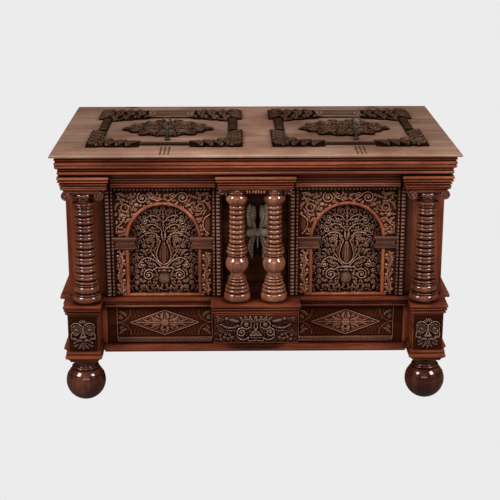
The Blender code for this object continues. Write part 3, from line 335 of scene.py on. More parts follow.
# Painted shade: darker oak for the lower mouldings, pedestals and centre block
OAK_LEDGE = wood("waxed_ledge_oak_painted_shade", SHADED_LEDGE_OAK, "X", hollow=0.03, reach=0.026)
OAK_PLAIN = wood("plain_carcase_oak", BROWN_OAK, "X", gloss=0.5, coat=0.0, hollow=0.3)
OAK_SHADED = wood("shaded_lining_oak", SHADED_OAK, "X", gloss=0.5, coat=0.0, hollow=0.2)
OAK_IMPOST = wood("dark_impost_oak", IMPOST_OAK, "X", coat=0.6, hollow=0.05, reach=0.022)
OAK_ARCH = wood("bright_arch_oak", ORANGE_OAK, "Z", coat=0.4)
OAK_TURNED = wood("turned_oak", BROWN_OAK, "Z", coat=1.0, hollow=0.0, polish=0.10, reach=0.022)
OAK_SMALL_TURNED = wood("turned_golden_oak", GOLDEN_OAK, "Z", coat=1.0, hollow=0.06, polish=0.10)
OAK_FEET = wood("turned_dark_oak", BALL_OAK, "Z", coat=0.8, hollow=0.03, polish=0.12)
OAK_CARVED = wood("carved_oak", DARK_OAK, "Z", coat=1.0, carved=True, reach=0.022, polish=0.12)
OAK_RIPPLED = wood("rippled_oak", DARK_OAK, "Z", coat=0.3, hollow=0.10, carved=True)
OAK_SPANDREL = wood(
    "carved_spandrel_oak", SPANDREL_OAK, "Z", coat=1.0, hollow=0.10, carved=True, polish=0.12
)
OAK_PLINTH = wood("carved_plinth_oak", PLINTH_OAK, "X", coat=0.3, hollow=0.12, carved=True)
OAK_MASK = wood("carved_mask_oak", MASK_OAK, "X", coat=1.0, hollow=0.06, carved=True, polish=0.12)
# Partly painted light: the ornament's grey-green, paler than its own colour to stand against the niche's
# shade
NICHE_CARVING = wood(
    "grey_niche_carving", MOSS_OAK, "Z", gloss=0.45, coat=0.4, hollow=0.3, carved=True, reach=0.006
)
# The lid's pale oak, with a painted sheen along its front edge and middle
OAK_LID = wood(
    "faded_lid_oak", PALE_OAK, "X", gloss=0.46, coat=0.1, hollow=0.2, shine=0.2, reach=0.030,
    sheen_front_tone=SHEEN_PALE_OAK,
)
LID_CARVING = wood("carved_lid_oak", BLACK_OAK, "X", coat=0.08, hollow=0.05, carved=True)
OAK_DARK_LINES = wood("dark_line_oak", DARK_LINE_OAK, "Y")
DARK_IRON = iron("dark_forged_iron", FORGED, 0.36)


def loft(rings, closed=False):
    """Points and faces of a solid through rings of points, with flat ends unless it closes on itself."""
    count = len(rings[0])
    points = [point for ring in rings for point in ring]
    faces = []
    for row in range(len(rings) if closed else len(rings) - 1):
        upper, lower = row * count, (row + 1) % len(rings) * count
        for index in range(count):
            after = (index + 1) % count
            faces.append((upper + index, lower + index, lower + after, upper + after))
    if not closed:
        faces.append(tuple(range(count)))
        faces.append(tuple(reversed(range(len(points) - count, len(points)))))
    return points, faces


def moulded(x_range, y_range, levels, sides):
    """A block whose named sides step in by each (height, inset) level, from the top down."""
    rings = []
    for height, inset in levels:
        left = x_range[0] + inset * ("left" in sides)
        right = x_range[1] - inset * ("right" in sides)
        front = y_range[0] + inset * ("front" in sides)
        back = y_range[1] - inset * ("back" in sides)
        corners = [(left, front), (left, back), (right, back), (right, front)]
        rings.append([(x, y, height) for x, y in corners])
    return loft(rings)


def moulded_node(node, levels, sides=("left", "right", "front")):
    """A moulded block as wide and deep as a CAD node."""
    low, high = box_of(node)
    return moulded((low[0], high[0]), (low[1], high[1]), levels, sides)


def curve_levels(start, end, bulge, steps):
    """Levels from start to end (height, inset) that swell out by bulge, or hollow in if negative."""
    levels = []
    for share in np.arange(steps + 1) / steps:
        height = start[0] + (end[0] - start[0]) * share
        inset = start[1] + (end[1] - start[1]) * share - bulge * math.sin(math.pi * share)
        levels.append((height, inset))
    return levels


def around(count):
    """Angles spread evenly over a full turn."""
    return [2 * math.pi * index / count for index in range(count)]


def turned(profile, centre, steps=TURNING_STEPS):
    """A turned solid, from (radius, height) points that run from the top down."""
    angles = around(steps)
    return loft([
        [(centre[0] + radius * math.sin(a), centre[1] + radius * math.cos(a), height) for a in angles]
        for radius, height in profile
    ])


def bead(top, bottom, side, crest, steps=8):
    """Points of a rounded ring of a turned profile, from its top edge to its bottom edge."""
    points = []
    for index in range(steps + 1):
        angle = math.pi * index / steps
        radius = side + (crest - side) * math.sin(angle) ** 0.8
        points.append((radius, (top + bottom) / 2 + (top - bottom) / 2 * math.cos(angle)))
    return points


def beads_below(start, *rows):
    """Rounded rings from rows in millimetres: top and bottom below the start, side, crest and any steps."""
    points = []
    for top, bottom, side, crest, *steps in rows:
        points += bead(start - top * MM, start - bottom * MM, side * MM, crest * MM, *steps)
    return points


def tube(path, radius, sides, closed=False):
    """A rod that follows a path, with a radius for each point or for all."""
    path = np.array(path, dtype=float)
    radii = np.broadcast_to(np.asarray(radius, dtype=float), (len(path),))
    if closed:
        ways = np.roll(path, -1, axis=0) - np.roll(path, 1, axis=0)
    else:
        ways = np.gradient(path, axis=0)
    ways /= np.linalg.norm(ways, axis=1)[:, None]
    spread = np.linalg.svd(path - path.mean(axis=0))[2][2]
    rings = []
    for place, way, size in zip(path, ways, radii):
        first = spread - way * np.dot(spread, way)
        first /= np.linalg.norm(first)
        second = np.cross(way, first)
        rings.append([place + size * (math.cos(a) * first + math.sin(a) * second) for a in around(sides)])
    return loft(rings, closed)


def strip(path, normal, profile):
    """A moulding of one profile along a flat path: profile points are (across, out) offsets."""
    path = np.array(path, dtype=float)
    normal = np.array(normal, dtype=float)
    ways = np.gradient(path, axis=0)
    ways /= np.linalg.norm(ways, axis=1)[:, None]
    return loft([
        [place + side * offset + normal * out for offset, out in profile]
        for place, side in zip(path, np.cross(normal, ways))
    ])


def joined(*shapes):
    """Several shapes as the points and faces of one mesh."""
    points, faces = [], []
    for shape_points, shape_faces in shapes:
        start = len(points)
        points.extend(tuple(point) for point in shape_points)
        faces.extend(tuple(index + start for index in face) for face in shape_faces)
    return points, faces


def smooth_path(points, step):
    """A flowing path through a few points, sampled about every step."""
    points = np.array(points, dtype=float)
    padded = np.vstack([2 * points[0] - points[1], points, 2 * points[-1] - points[-2]])
    samples = []
    for index in range(len(points) - 1):
        before, start, end, after = padded[index : index + 4]
        count = max(int(np.linalg.norm(end - start) / step), 2)
        for share in np.linspace(0, 1, count, endpoint=False):
            samples.append(0.5 * (
                2 * start
                + (end - before) * share
                + (2 * before - 5 * start + 4 * end - after) * share**2
                + (3 * start - before - 3 * end + after) * share**3
            ))
    samples.append(points[-1])
    return np.array(samples)


def soft_blur(heights, passes):
    """Heights averaged with their neighbours a number of times."""
    for _ in range(passes):
        padded = np.pad(heights, 1, mode="edge")
        rows = (padded[:-2] + 2 * padded[1:-1] + padded[2:]) / 4
        heights = (rows[:, :-2] + 2 * rows[:, 1:-1] + rows[:, 2:]) / 4
    return heights


class Relief:
    """A carved surface as heights over a flat grid, in millimetres. Bumps never lower each other."""

    # For each side of a cell: its neighbour's place in the padded grid, and its two corners
    CELL_SIDES = (((0, 1), (0, 1)), ((1, 2), (1, 2)), ((2, 1), (2, 3)), ((1, 0), (3, 0)))

    def __init__(self, u_range, v_range, step):
        self.step = step
        self.u = np.linspace(*u_range, max(int(round((u_range[1] - u_range[0]) / step)), 2) + 1)
        self.v = np.linspace(*v_range, max(int(round((v_range[1] - v_range[0]) / step)), 2) + 1)
        self.h = np.zeros((len(self.v), len(self.u)))
        self.cut = np.zeros_like(self.h)
        self.pale = np.zeros_like(self.h)
        self.flips = (1,)

    def window(self, u, v, reach):
        columns = slice(*np.searchsorted(self.u, (u - reach, u + reach)))
        rows = slice(*np.searchsorted(self.v, (v - reach, v + reach)))
        return rows, columns

    def dab(self, u, v, radius, height, on="h", flat=0.5):
        """A round bump (or a round cut, on the cut layer)."""
        layer = getattr(self, on)
        for flip in self.flips:
            rows, columns = self.window(flip * u, v, radius)
            du = self.u[None, columns] - flip * u
            dv = self.v[rows, None] - v
            bump = height * np.clip(1 - (du**2 + dv**2) / radius**2, 0, None) ** flat
            layer[rows, columns] = np.maximum(layer[rows, columns], bump)

    def oval(self, u, v, half_u, half_v, height, on="h", flat=0.5, turn=0.0):
        """An oval bump, turned by an angle in degrees."""
        layer = getattr(self, on)
        cosine, sine = math.cos(math.radians(turn)), math.sin(math.radians(turn))
        for flip in self.flips:
            rows, columns = self.window(flip * u, v, max(half_u, half_v))
            du = flip * (self.u[None, columns] - flip * u)
            dv = self.v[rows, None] - v
            first = (du * cosine + dv * sine) / half_u
            second = (dv * cosine - du * sine) / half_v
            bump = height * np.clip(1 - first**2 - second**2, 0, None) ** flat
            layer[rows, columns] = np.maximum(layer[rows, columns], bump)

    def stroke(self, points, width, height, ends=(1.0, 1.0), on="h", flat=0.5):
        """A rounded stem along a flowing path; its width and height taper to the shares at its ends."""
        path = smooth_path(points, self.step * 0.7)
        for share, (u, v) in zip(np.linspace(0, 1, len(path)), path):
            size = np.interp(share, (0, 0.5, 1), (ends[0], 1.0, ends[1]))
            self.dab(u, v, max(width / 2 * size, self.step), height * (0.45 + 0.55 * size), on, flat)

    def scroll(self, u, v, radius, turns, start, width, height, way=1, eye=True):
        """A spiral that begins at an angle on its rim and winds in to a round eye."""
        count = max(int(turns * 24), 8)
        points = []
        for index in range(count + 1):
            share = index / count
            angle = math.radians(start) + way * 2 * math.pi * turns * share
            size = radius * (1 - 0.78 * share)
            points.append((u + size * math.cos(angle), v + size * math.sin(angle)))
        self.stroke(points, width, height, (1.0, 0.8))
        if eye:
            self.dab(u, v, radius * 0.30, height * 1.15)

    def leaf(self, root, tip, width, height, bend=0.0, veins=3):
        """A pointed leaf with a midrib and side veins, bent sideways by a share of its length."""
        root, tip = np.array(root, dtype=float), np.array(tip, dtype=float)
        way = tip - root
        side = np.array((-way[1], way[0]))
        middle = (root + tip) / 2 + side * bend
        path = smooth_path((root, middle, tip), self.step * 0.7)
        for share, (u, v) in zip(np.linspace(0, 1, len(path)), path):
            size = math.sin(math.pi * min(share * 0.82 + 0.12, 1.0)) ** 0.75
            self.dab(u, v, max(width / 2 * size, self.step * 0.9), height * (0.6 + 0.4 * size))
        self.stroke((root, middle, root + 0.86 * (tip - root)), width * 0.2, height * 0.42, (1, 0.5), "cut")
        for index in range(veins):
            share = (index + 1) / (veins + 1.6)
            base = path[int(share * (len(path) - 1))]
            for hand in (-1, 1):
                end = base + hand * side / max(np.linalg.norm(side), 1e-6) * width * 0.45
                end = end + way / max(np.linalg.norm(way), 1e-6) * width * 0.3
                self.stroke((base, end), width * 0.12, height * 0.3, (1, 0.6), "cut")

    def rosette(self, u, v, radius, petals, height):
        """A flower: round petals about a button."""
        for index in range(petals):
            angle = 2 * math.pi * (index + 0.25) / petals
            self.dab(
                u + 0.6 * radius * math.cos(angle),
                v + 0.6 * radius * math.sin(angle),
                radius * 0.44,
                height * 0.85,
            )
        self.dab(u, v, radius * 0.34, height * 1.15)

    def ring(self, u, v, half_u, half_v, width, height, arc=(0, 360)):
        """A raised outline on an oval, or on part of it between two angles in degrees."""
        count = max(int((half_u + half_v) * math.radians(abs(arc[1] - arc[0])) / 4), 6)
        angles = np.radians(np.linspace(*arc, count + 1))
        points = np.stack([u + half_u * np.cos(angles), v + half_v * np.sin(angles)], axis=1)
        self.stroke(points, width, height)

    def leaves(self, tall, *rows):
        """Leaves from rows: root (u, v), tip (u, v), width, share of the height, and any bend and veins."""
        for root_u, root_v, tip_u, tip_v, width, share, *shape in rows:
            self.leaf((root_u, root_v), (tip_u, tip_v), width, tall * share, *shape)

    def strokes(self, tall, *rows):
        """Stems from rows: points, width, share of the height, and any shares left at the ends."""
        for points, width, share, *ends in rows:
            self.stroke(points, width, tall * share, *ends)

    def scrolls(self, tall, *rows):
        """Spirals from rows: middle (u, v), radius, turns, start, width, share of the height and way."""
        for u, v, radius, turns, start, width, share, way in rows:
            self.scroll(u, v, radius, turns, start, width, tall * share, way)

    def beads(self, points, spacing, radius, height):
        """A row of round beads along a flowing path."""
        path = smooth_path(points, 0.4)
        lengths = np.concatenate([[0], np.cumsum(np.linalg.norm(np.diff(path, axis=0), axis=1))])
        for place in np.arange(0, lengths[-1] + 0.1, spacing):
            u = np.interp(place, lengths, path[:, 0])
            v = np.interp(place, lengths, path[:, 1])
            self.dab(u, v, radius, height)

    def fill(self, spacing, height, seed, inside=None, flow=(0.0, 0.0)):
        """Small leaves, curls and buds wherever the ground is still bare."""
        draw = np.random.default_rng(seed)
        rows = np.arange(self.v[0] + spacing / 2, self.v[-1], spacing)
        for row, v_row in enumerate(rows):
            for u_cell in np.arange(self.u[0] + spacing / 2 * (1 + row % 2), self.u[-1], spacing):
                jitter, size, turn, kind = draw.uniform(-1, 1, 2), *draw.uniform(0, 1, 3)
                u, v = u_cell + 0.3 * spacing * jitter[0], v_row + 0.3 * spacing * jitter[1]
                if inside is not None and not inside(u, v):
                    continue
                around = self.h[self.window(u, v, spacing * 0.42)]
                if around.size == 0 or np.mean(around > 0.3) > 0.42:
                    continue
                angle = math.atan2(v - flow[1], u - flow[0]) + (turn - 0.5) * 2.4
                reach = spacing * (0.42 + 0.2 * size)
                way = np.array((math.cos(angle), math.sin(angle)))
                here = np.array((u, v))
                if kind < 0.45:
                    self.leaf(here - way * reach, here + way * reach, reach * 1.1, height, turn - 0.5, 1)
                elif kind < 0.75:
                    self.scroll(
                        u, v, reach * 0.85, 1.25, math.degrees(angle), reach * 0.5, height,
                        1 if turn > 0.5 else -1,
                    )
                else:
                    self.rosette(u, v, reach * 0.8, 5, height * 0.95)

    def finish(self, roughness=0.12):
        """Take out the cuts, soften the tool marks and roughen the ground."""
        waves = np.zeros_like(self.h)
        for index, (a, b) in enumerate(((0.61, 0.83), (1.27, -0.71), (-0.92, 1.49), (2.3, 1.9))):
            waves += np.sin(a * self.u[None, :] + b * self.v[:, None] + index * 1.9)
        self.h = np.maximum(self.h - self.cut, np.minimum(self.h, 0.2))
        self.h = soft_blur(self.h, 1) + roughness * waves / 2
        return self

    def painted_light_share(self):
        """Painted light for the finish: 0 for painted shade in the ground and recesses, 1 for a painted
        highlight on the tops and ridges; the pale layer adds the wood's own lighter tone.
        """
        open_share = (self.h - soft_blur(self.h, 14)) / max(np.percentile(self.h, 98), 0.5)
        tall = self.h / max(np.percentile(self.h, 98), 0.5)
        return np.clip(0.16 + 0.44 * tall + 1.15 * open_share + self.pale, 0, 1)

    def solid(self, name, place, thickness, keep=None):
        """A closed mesh: the carved face, walls along its edges and a flat back."""
        rows, columns = self.h.shape
        u, v = np.meshgrid(self.u, self.v)
        front = place(u.ravel() * MM, v.ravel() * MM, self.h.ravel() * MM)
        back = place(u.ravel() * MM, v.ravel() * MM, np.full(u.size, -thickness))
        index = np.arange(rows * columns).reshape(rows, columns)
        kept = np.ones((rows - 1, columns - 1), dtype=bool)
        if keep is not None:
            middle_u = (self.u[:-1] + self.u[1:])[None, :] / 2 + 0 * self.v[:-1, None]
            middle_v = (self.v[:-1] + self.v[1:])[:, None] / 2 + 0 * self.u[None, :-1]
            kept = keep(middle_u, middle_v)
        corners = (index[:-1, :-1], index[:-1, 1:], index[1:, 1:], index[1:, :-1])
        face = np.stack([corner[kept] for corner in corners], axis=1)
        total = rows * columns
        faces = [face, face[:, ::-1] + total]
        outside = np.pad(kept, 1)
        for (row, column), (first, second) in self.CELL_SIDES:
            beyond = outside[row : row + rows - 1, column : column + columns - 1]
            edge = kept & ~beyond
            start, end = corners[first][edge], corners[second][edge]
            faces.append(np.stack([end, start, start + total, end + total], axis=1))
        faces = np.concatenate(faces)
        used = np.unique(faces)
        place_of = np.zeros(2 * total, dtype=int)
        place_of[used] = np.arange(len(used))
        mesh = mesh_of(name, np.concatenate([front, back])[used], place_of[faces].tolist())
        # The relief attribute: painted highlight on the tops, painted shade in the ground and recesses
        worn = np.concatenate([self.painted_light_share().ravel(), np.zeros(total)])[used]
        mesh.attributes.new("relief", "FLOAT", "POINT").data.foreach_set("value", worn)
        return mesh


def facing(x, y, z):
    """Places a relief on a front plane: u to the right, v up, height towards the viewer."""
    return lambda u, v, h: np.stack([x + u, y - h, z + v], axis=1)


def lying(x, y, z):
    """Places a relief on the lid: u to the right, v to the back, height up."""
    return lambda u, v, h: np.stack([x + u, y + v, z + h], axis=1)


def solid_mesh(name, shape):
    """A mesh from points and faces, with every face turned outwards."""
    mesh = mesh_of(name, *shape)
    model = bmesh.new()
    model.from_mesh(mesh)
    bmesh.ops.recalc_face_normals(model, faces=model.faces)
    model.to_mesh(mesh)
    model.free()
    return mesh


def shaped(name, shape, material, node, replaced=None, smooth_angle=40):
    """A piece from points and faces."""
    return show(name, solid_mesh(name, shape), material, node, replaced, smooth_angle)


def joinery(name, shape, material, node, replaced=None, edge=0.0005):
    """A joiner's piece with crisp but worn edges."""
    return soften(shaped(name, shape, material, node, replaced, 32), edge)


def carving(name, relief, place, thickness, material, node, replaced=None, keep=None):
    """A carved piece from a relief."""
    return show(name, relief.solid(name, place, thickness, keep), material, node, replaced)


def profile_levels(top, steps):
    """Levels from (drop, inset) steps in millimetres; a third value swells the way from the last step."""
    levels = []
    for step in steps:
        place = (top - step[0] * MM, step[1] * MM)
        if len(step) == 3:
            levels += curve_levels(levels[-1], place, step[2] * MM, 6)[1:]
        else:
            levels.append(place)
    return levels


def front_runs(name, node, middle_node, levels, material):
    """The two front runs of a moulding, to the left and right of its middle piece."""
    low, high = box_of(node)
    middle_low, middle_high = box_of(middle_node)
    runs = [
        moulded(x_range, (low[1], high[1]), levels, ("front",))
        for x_range in ((low[0], middle_low[0]), (middle_high[0], high[0]))
    ]
    joinery(name, joined(*runs), material, node)


# Lid board and the moulded rim under it
LID_EDGE = 0.0032
RIM_DEPTH = 0.060
# Dark neck, fillet, groove, torus parted by a line, small fillet, lower band and a dark slot
RIM_STEPS = (
    (0, 6.0), (3.8, 6.0), (4.4, 0), (8.4, 0), (8.9, 4.5), (12.0, 4.5), (12.4, 1.4), (20.0, 0.4, 1.2),
    (20.3, 2.6), (22.4, 2.6), (22.8, 0.6), (29.6, 3.8, 1.6), (30.0, 9.0), (32.0, 9.0), (32.4, 6.5),
    (34.8, 7.0), (35.2, 13.0), (37.4, 13.0), (37.8, 6.2), (44.6, 7.0, 1.2), (45.0, 22.0), (50.7, 22.0),
)

dress("lid_board", OAK_LID, LID_EDGE)

rim_low, rim_high = box_of("lid_rim_front")
side_low, side_high = box_of("lid_rim_right")
rim_levels = profile_levels(rim_high[2], RIM_STEPS)


def rim_front_shape():
    """The front rim with its mitred ends."""
    outer, inner, front = rim_high[0], side_low[0], rim_low[1]
    mitre = front + (outer - inner)
    rings = []
    for height, inset in rim_levels:
        right = [(outer - inset, front + inset), (inner, mitre), (inner, front + RIM_DEPTH)]
        left = [(-x, y) for x, y in reversed(right)]
        rings.append([(x, y, height) for x, y in right + left])
    return loft(rings)


def rim_side_shape(sign):
    """A side rim, mitred at its front end."""
    outer, inner = side_high[0], side_low[0]
    front, back = side_low[1], side_high[1]
    mitre = front + (outer - inner)
    rings = []
    for height, inset in rim_levels:
        ring = [(outer - inset, front + inset), (outer - inset, back), (inner, back), (inner, mitre)]
        rings.append([(sign * x, y, height) for x, y in ring])
    return loft(rings)


joinery("lid_rim_front_moulded", rim_front_shape(), OAK_ACROSS, "lid_rim_front")
for side, sign in SIDES.items():
    joinery("lid_rim_moulded_" + side, rim_side_shape(sign), OAK_BACKWARD, "lid_rim_" + side)


# Carcase boards and corner posts
POST_EDGE = 0.0015
# The front board takes the dark oak as painted shade at the back of the niche
dress("front_board", OAK_SHADED)
for node in ("back_board", "bottom_board"):
    dress(node, OAK_PLAIN)
for side in SIDES:
    dress("side_board_" + side, OAK_BACKWARD)
    dress("corner_post_" + side, OAK_UPRIGHT, POST_EDGE)


# Cornice: crown, two small rolls between dark grooves, parted fascia and a sunk lower edge
CORNICE_STEPS = (
    (0, 1.2), (1.2, 0), (6.0, 0), (6.6, 4.5), (9.6, 4.5), (10.2, 1.6), (13.8, 2.6, 1.0), (14.4, 8.0),
    (17.2, 8.4), (17.8, 5.0), (21.0, 5.6, 0.8), (21.6, 10.0), (24.0, 10.0), (24.6, 6.4), (28.4, 7.0, 0.8),
    (28.8, 8.6), (29.8, 8.6), (30.2, 7.4), (33.2, 8.0, 0.6), (33.8, 12.0), (36.7, 12.5),
)
# Share of the front's insets that the side runs have
SIDE_SHARE = 0.5
cornice_low, cornice_high = box_of("cornice_front")
case_top, case_bottom = cornice_high[2], cornice_low[2]
cornice_levels = profile_levels(case_top, CORNICE_STEPS)
side_levels = [(height, inset * SIDE_SHARE) for height, inset in cornice_levels]
front_runs("cornice_runs", "cornice_front", "cornice_break_centre", cornice_levels, OAK_CORNICE)
for name in ("centre", "left", "right"):
    node = "cornice_break_" + name
    joinery("cornice_break_moulded_" + name, moulded_node(node, cornice_levels), OAK_ACROSS, node)
for side in SIDES:
    node = "cornice_" + side
    joinery("cornice_moulded_" + side, moulded_node(node, side_levels, (side,)), OAK_BACKWARD, node)


# Ledge between the storeys: lip, dark cove and bead
RUN_STEPS = (
    (0, 1.0), (0.8, 0), (9.0, 0, 0.5), (9.6, 6.0), (20.6, 9.5, -2.0), (21.2, 6.2), (26.8, 6.8, 1.0),
    (27.4, 12.0), (29.0, 12.0),
)
# Its caps on the pedestals and the centre block have three fillets
CAP_STEPS = (
    (0, 1.0), (0.8, 0), (7.4, 0, 0.5), (8.0, 3.4), (10.0, 3.8), (10.6, 1.6), (15.4, 2.2, 0.8), (16.0, 5.4),
    (18.4, 5.8), (19.0, 3.8), (23.4, 4.6, 0.8), (24.0, 7.6),
)
# Pedestal below its die: fillet, dark groove, broad band and ogee down to the foot
PAD_STEPS = (
    (-0.4, 9.0), (0.2, 3.0), (5.6, 3.0), (6.2, 5.2), (9.2, 5.2), (9.8, 1.2), (18.6, 1.2, 0.7), (19.2, 2.6),
    (31.0, 12.0, -2.2),
)
PAD_HEIGHT = 0.031
DIE_INSET = 0.009
# Parts that the height of the moulding at the bottom is divided into
BASE_PARTS = 23.0

ledge_low, ledge_high = box_of("ledge_front")
ledge_top, ledge_bottom = ledge_high[2], ledge_low[2]
run_levels = profile_levels(ledge_top, RUN_STEPS)
front_runs("ledge_runs", "ledge_front", "centre_block", run_levels, OAK_LEDGE)

# Moulding at the bottom: small hollow over a broad round
base_low, base_high = box_of("base_moulding_front")
base_top, base_bottom = base_high[2], base_low[2]
part = (base_top - base_bottom) / BASE_PARTS
base_levels = [(base_top, 0.0085), (base_top - 1.2 * part, 0.0080)]
base_levels += curve_levels((base_top - 2.0 * part, 0.0070), (base_top - 9.0 * part, 0.0050), -0.0012, 5)
base_levels += curve_levels((base_top - 9.6 * part, 0.0030), (base_bottom + 2.0 * part, 0.0030), 0.0030, 8)
base_levels += [(base_bottom + 1.2 * part, 0.0050), (base_bottom, 0.0055)]
shape = moulded_node("base_moulding_front", base_levels, ("front",))
joinery("base_moulding_run", shape, OAK_LEDGE, "base_moulding_front")
for side in SIDES:
    node = "ledge_" + side
    joinery("ledge_moulded_" + side, moulded_node(node, run_levels, (side, "front")), OAK_BACKWARD, node)
    node = "base_moulding_" + side
    joinery("base_moulded_" + side, moulded_node(node, base_levels, (side,)), OAK_BACKWARD, node)

# Pedestals: cap, plain die, broad pad and ogee down to the foot
for side in SIDES:
    node = "pedestal_" + side
    levels = profile_levels(ledge_top, CAP_STEPS) + [(ledge_bottom, DIE_INSET)]
    levels += profile_levels(box_of(node)[0][2] + PAD_HEIGHT, PAD_STEPS)
    joinery("pedestal_moulded_" + side, moulded_node(node, levels), OAK_LEDGE, node)

block_low, block_high = box_of("centre_block")
block_levels = profile_levels(ledge_top, CAP_STEPS)
block_levels += [(block_low[2] + 0.0035, 0.008), (block_low[2] + 0.003, 0.0066), (block_low[2], 0.0066)]
joinery("centre_block_moulded", moulded_node("centre_block", block_levels), OAK_LEDGE, "centre_block")


def turned_piece(name, profile, node, material):
    low, high = box_of(node)
    centre = ((low[0] + high[0]) / 2, (low[1] + high[1]) / 2)
    return shaped(name, turned(profile, centre), material, node, smooth_angle=50)


COLUMN_RINGS = 9
SMALL_COLUMN_RINGS = 8


def column_profile(top, bottom):
    """Large column: neck, collar, swelling rings of two beads each, lower collar and torus."""
    rings_top, rings_bottom = top - 0.031, bottom + 0.058
    points = [(0.0180, top), (0.0168, top - 0.0080), (0.0182, top - 0.0148)]
    points += beads_below(top, (15.5, 22.5, 21.5, 29.2), (23.0, 26.5, 22.5, 26.4), (27.0, 30.5, 19.5, 24.0))
    pitch = (rings_top - rings_bottom) / COLUMN_RINGS
    for index in range(COLUMN_RINGS):
        crest = 0.0240 + 0.0030 * index / (COLUMN_RINGS - 1)
        start = rings_top - pitch * index
        for first, last in ((0.06, 0.46), (0.47, 0.87)):
            points += bead(start - pitch * first, start - pitch * last, crest - 0.0032, crest)
        points.append((crest - 0.0085, start - pitch * 0.96))
    points += beads_below(rings_bottom, (0.5, 7.5, 23.5, 30.5), (8.0, 11.5, 26.5, 31.2))
    points += bead(rings_bottom - 0.0125, bottom + 0.0260, 0.0250, 0.0322, 10)
    points += beads_below(bottom, (-25.0, -21.5, 29.0, 33.5), (-20.5, -1.5, 30.5, 36.8, 12))
    points.append((0.0330, bottom))
    return points


def about_y(shape, centre):
    """A shape turned about Z, laid down to lie along Y about a centre."""
    points, faces = shape
    return [(centre[0] + x, centre[1] + z, centre[2] + y) for x, y, z in points], faces


def spiral(eye_x, eye_z, y, sign, radius, turns, shrink, count):
    """Points of an upright spiral that starts at its top and winds in about an eye."""
    points = []
    for share in np.linspace(0, 1, count):
        angle = math.pi / 2 - sign * share * 2 * math.pi * turns
        size = radius * (1 - shrink * share)
        points.append((eye_x + size * math.cos(angle), y, eye_z + size * math.sin(angle)))
    return points


def capital_shapes(low, high):
    """Abacus, two scrolls with wound fronts, and the smooth round between them."""
    middle = (low[0] + high[0]) / 2
    top, front, back = high[2], low[1], high[1]
    axis_y = (front + back) / 2
    radius, rim = 0.0118, 0.0092
    face = front + 0.0012
    eye_height = top - 0.0003 - radius
    levels = [(top, 0.0012), (top - 0.0012, 0.0), (top - 0.0050, 0.0), (top - 0.0056, 0.0030)]
    levels += curve_levels((top - 0.0060, 0.0030), (top - 0.0105, 0.0060), 0.0008, 5)
    inner = (low[0] + 1.2 * radius, high[0] - 1.2 * radius)
    shapes = [moulded(inner, (front + 0.004, back), levels, ("front",))]
    depth = (back - front) / 2 - 0.0015
    barrel = [(rim, depth), (radius, depth - 0.0006), (radius, depth - 0.0060)]
    for share in np.linspace(-0.72, 0.72, 13)[::-1]:
        barrel.append((radius - 0.0035 * math.cos(share / 0.72 * math.pi / 2), share * depth))
    barrel += [(radius, -depth + 0.0060), (radius, -depth + 0.0006), (rim, -depth)]
    button = [(0.0004, -0.0032), (0.0018, -0.0028), (0.0029, -0.0014), (0.0032, -0.0)]
    for sign in (-1, 1):
        eye_x = middle + sign * (high[0] - middle - radius + 0.0005)
        shapes.append(about_y(turned(barrel, (0, 0), 40), (eye_x, axis_y, eye_height)))
        wind = spiral(eye_x, eye_height, face, sign, radius - 0.0012, 2.1, 0.80, 60)
        shapes.append(tube(wind, np.linspace(0.0019, 0.0011, len(wind)), 8))
        shapes.append(about_y(turned(button, (0, 0), 20), (eye_x, face, eye_height)))
    echinus = beads_below(top - 0.0090, (0, 13.0, 19.0, 24.5, 10), (13.4, 16.8, 18.0, 20.5))
    shapes.append(turned(echinus, (middle, axis_y), 56))
    return shapes


for side in SIDES:
    node = "column_" + side
    low, high = box_of(node)
    turned_piece("column_turned_" + side, column_profile(high[2], low[2]), node, OAK_TURNED)
    node = "capital_" + side
    shaped("capital_carved_" + side, joined(*capital_shapes(*box_of(node))), OAK_TURNED, node)


def small_column_profile(top, bottom):
    """Abacus, cup, rings, flaring collar, shining bulb, neck, lower rings, flares and base."""
    points = [(0.0265, top), (0.0272, top - 0.0010), (0.0272, top - 0.0060), (0.0235, top - 0.0070)]
    points += beads_below(top, (7.5, 12.0, 23.0, 25.8))
    points.append((0.0205, top - 0.0135))
    for share in np.linspace(0, 1, 14):
        radius = 0.0200 + 0.0078 * math.sin(math.pi * (0.10 + 0.86 * share)) - 0.0030 * share**2
        points.append((radius, top - 0.0145 - 0.0275 * share))
    rings_top, rings_bottom = top - 0.0430, bottom + 0.1500
    pitch = (rings_top - rings_bottom) / SMALL_COLUMN_RINGS
    for index in range(SMALL_COLUMN_RINGS):
        start = rings_top - pitch * index
        points += bead(start, start - pitch * 0.88, 0.0142, 0.0190 + 0.0008 * index / SMALL_COLUMN_RINGS)
        points.append((0.0136, start - pitch * 0.95))
    points += beads_below(
        rings_bottom,
        (0.4, 7.5, 17.0, 21.8), (8.0, 16.0, 19.5, 24.6), (16.5, 25.0, 21.5, 26.6), (25.6, 31.0, 19.0, 23.2),
    )
    bulb_top = bottom + 0.1165
    points += [(0.0178, rings_bottom - 0.0322), (0.0180, bulb_top)]
    for share in np.linspace(0, 1, 20):
        angle = math.pi * (0.10 + 0.80 * share)
        points.append((0.0172 + 0.0116 * math.sin(angle) ** 0.8, bulb_top - 0.0375 * share))
    neck = bulb_top - 0.0380
    points += [(0.0176, neck - 0.0010), (0.0166, neck - 0.0060), (0.0172, neck - 0.0110)]
    points += beads_below(
        neck, (12.5, 19.0, 17.2, 21.4), (19.6, 26.5, 18.2, 22.8), (27.1, 34.5, 20.0, 25.0)
    )
    flare = neck - 0.0355
    points += beads_below(flare, (0, 8.0, 23.5, 29.0), (8.6, 18.5, 25.0, 30.5))
    points += bead(flare - 0.0197, bottom + 0.0010, 0.0280, 0.0336, 12)
    points.append((0.0315, bottom))
    return points


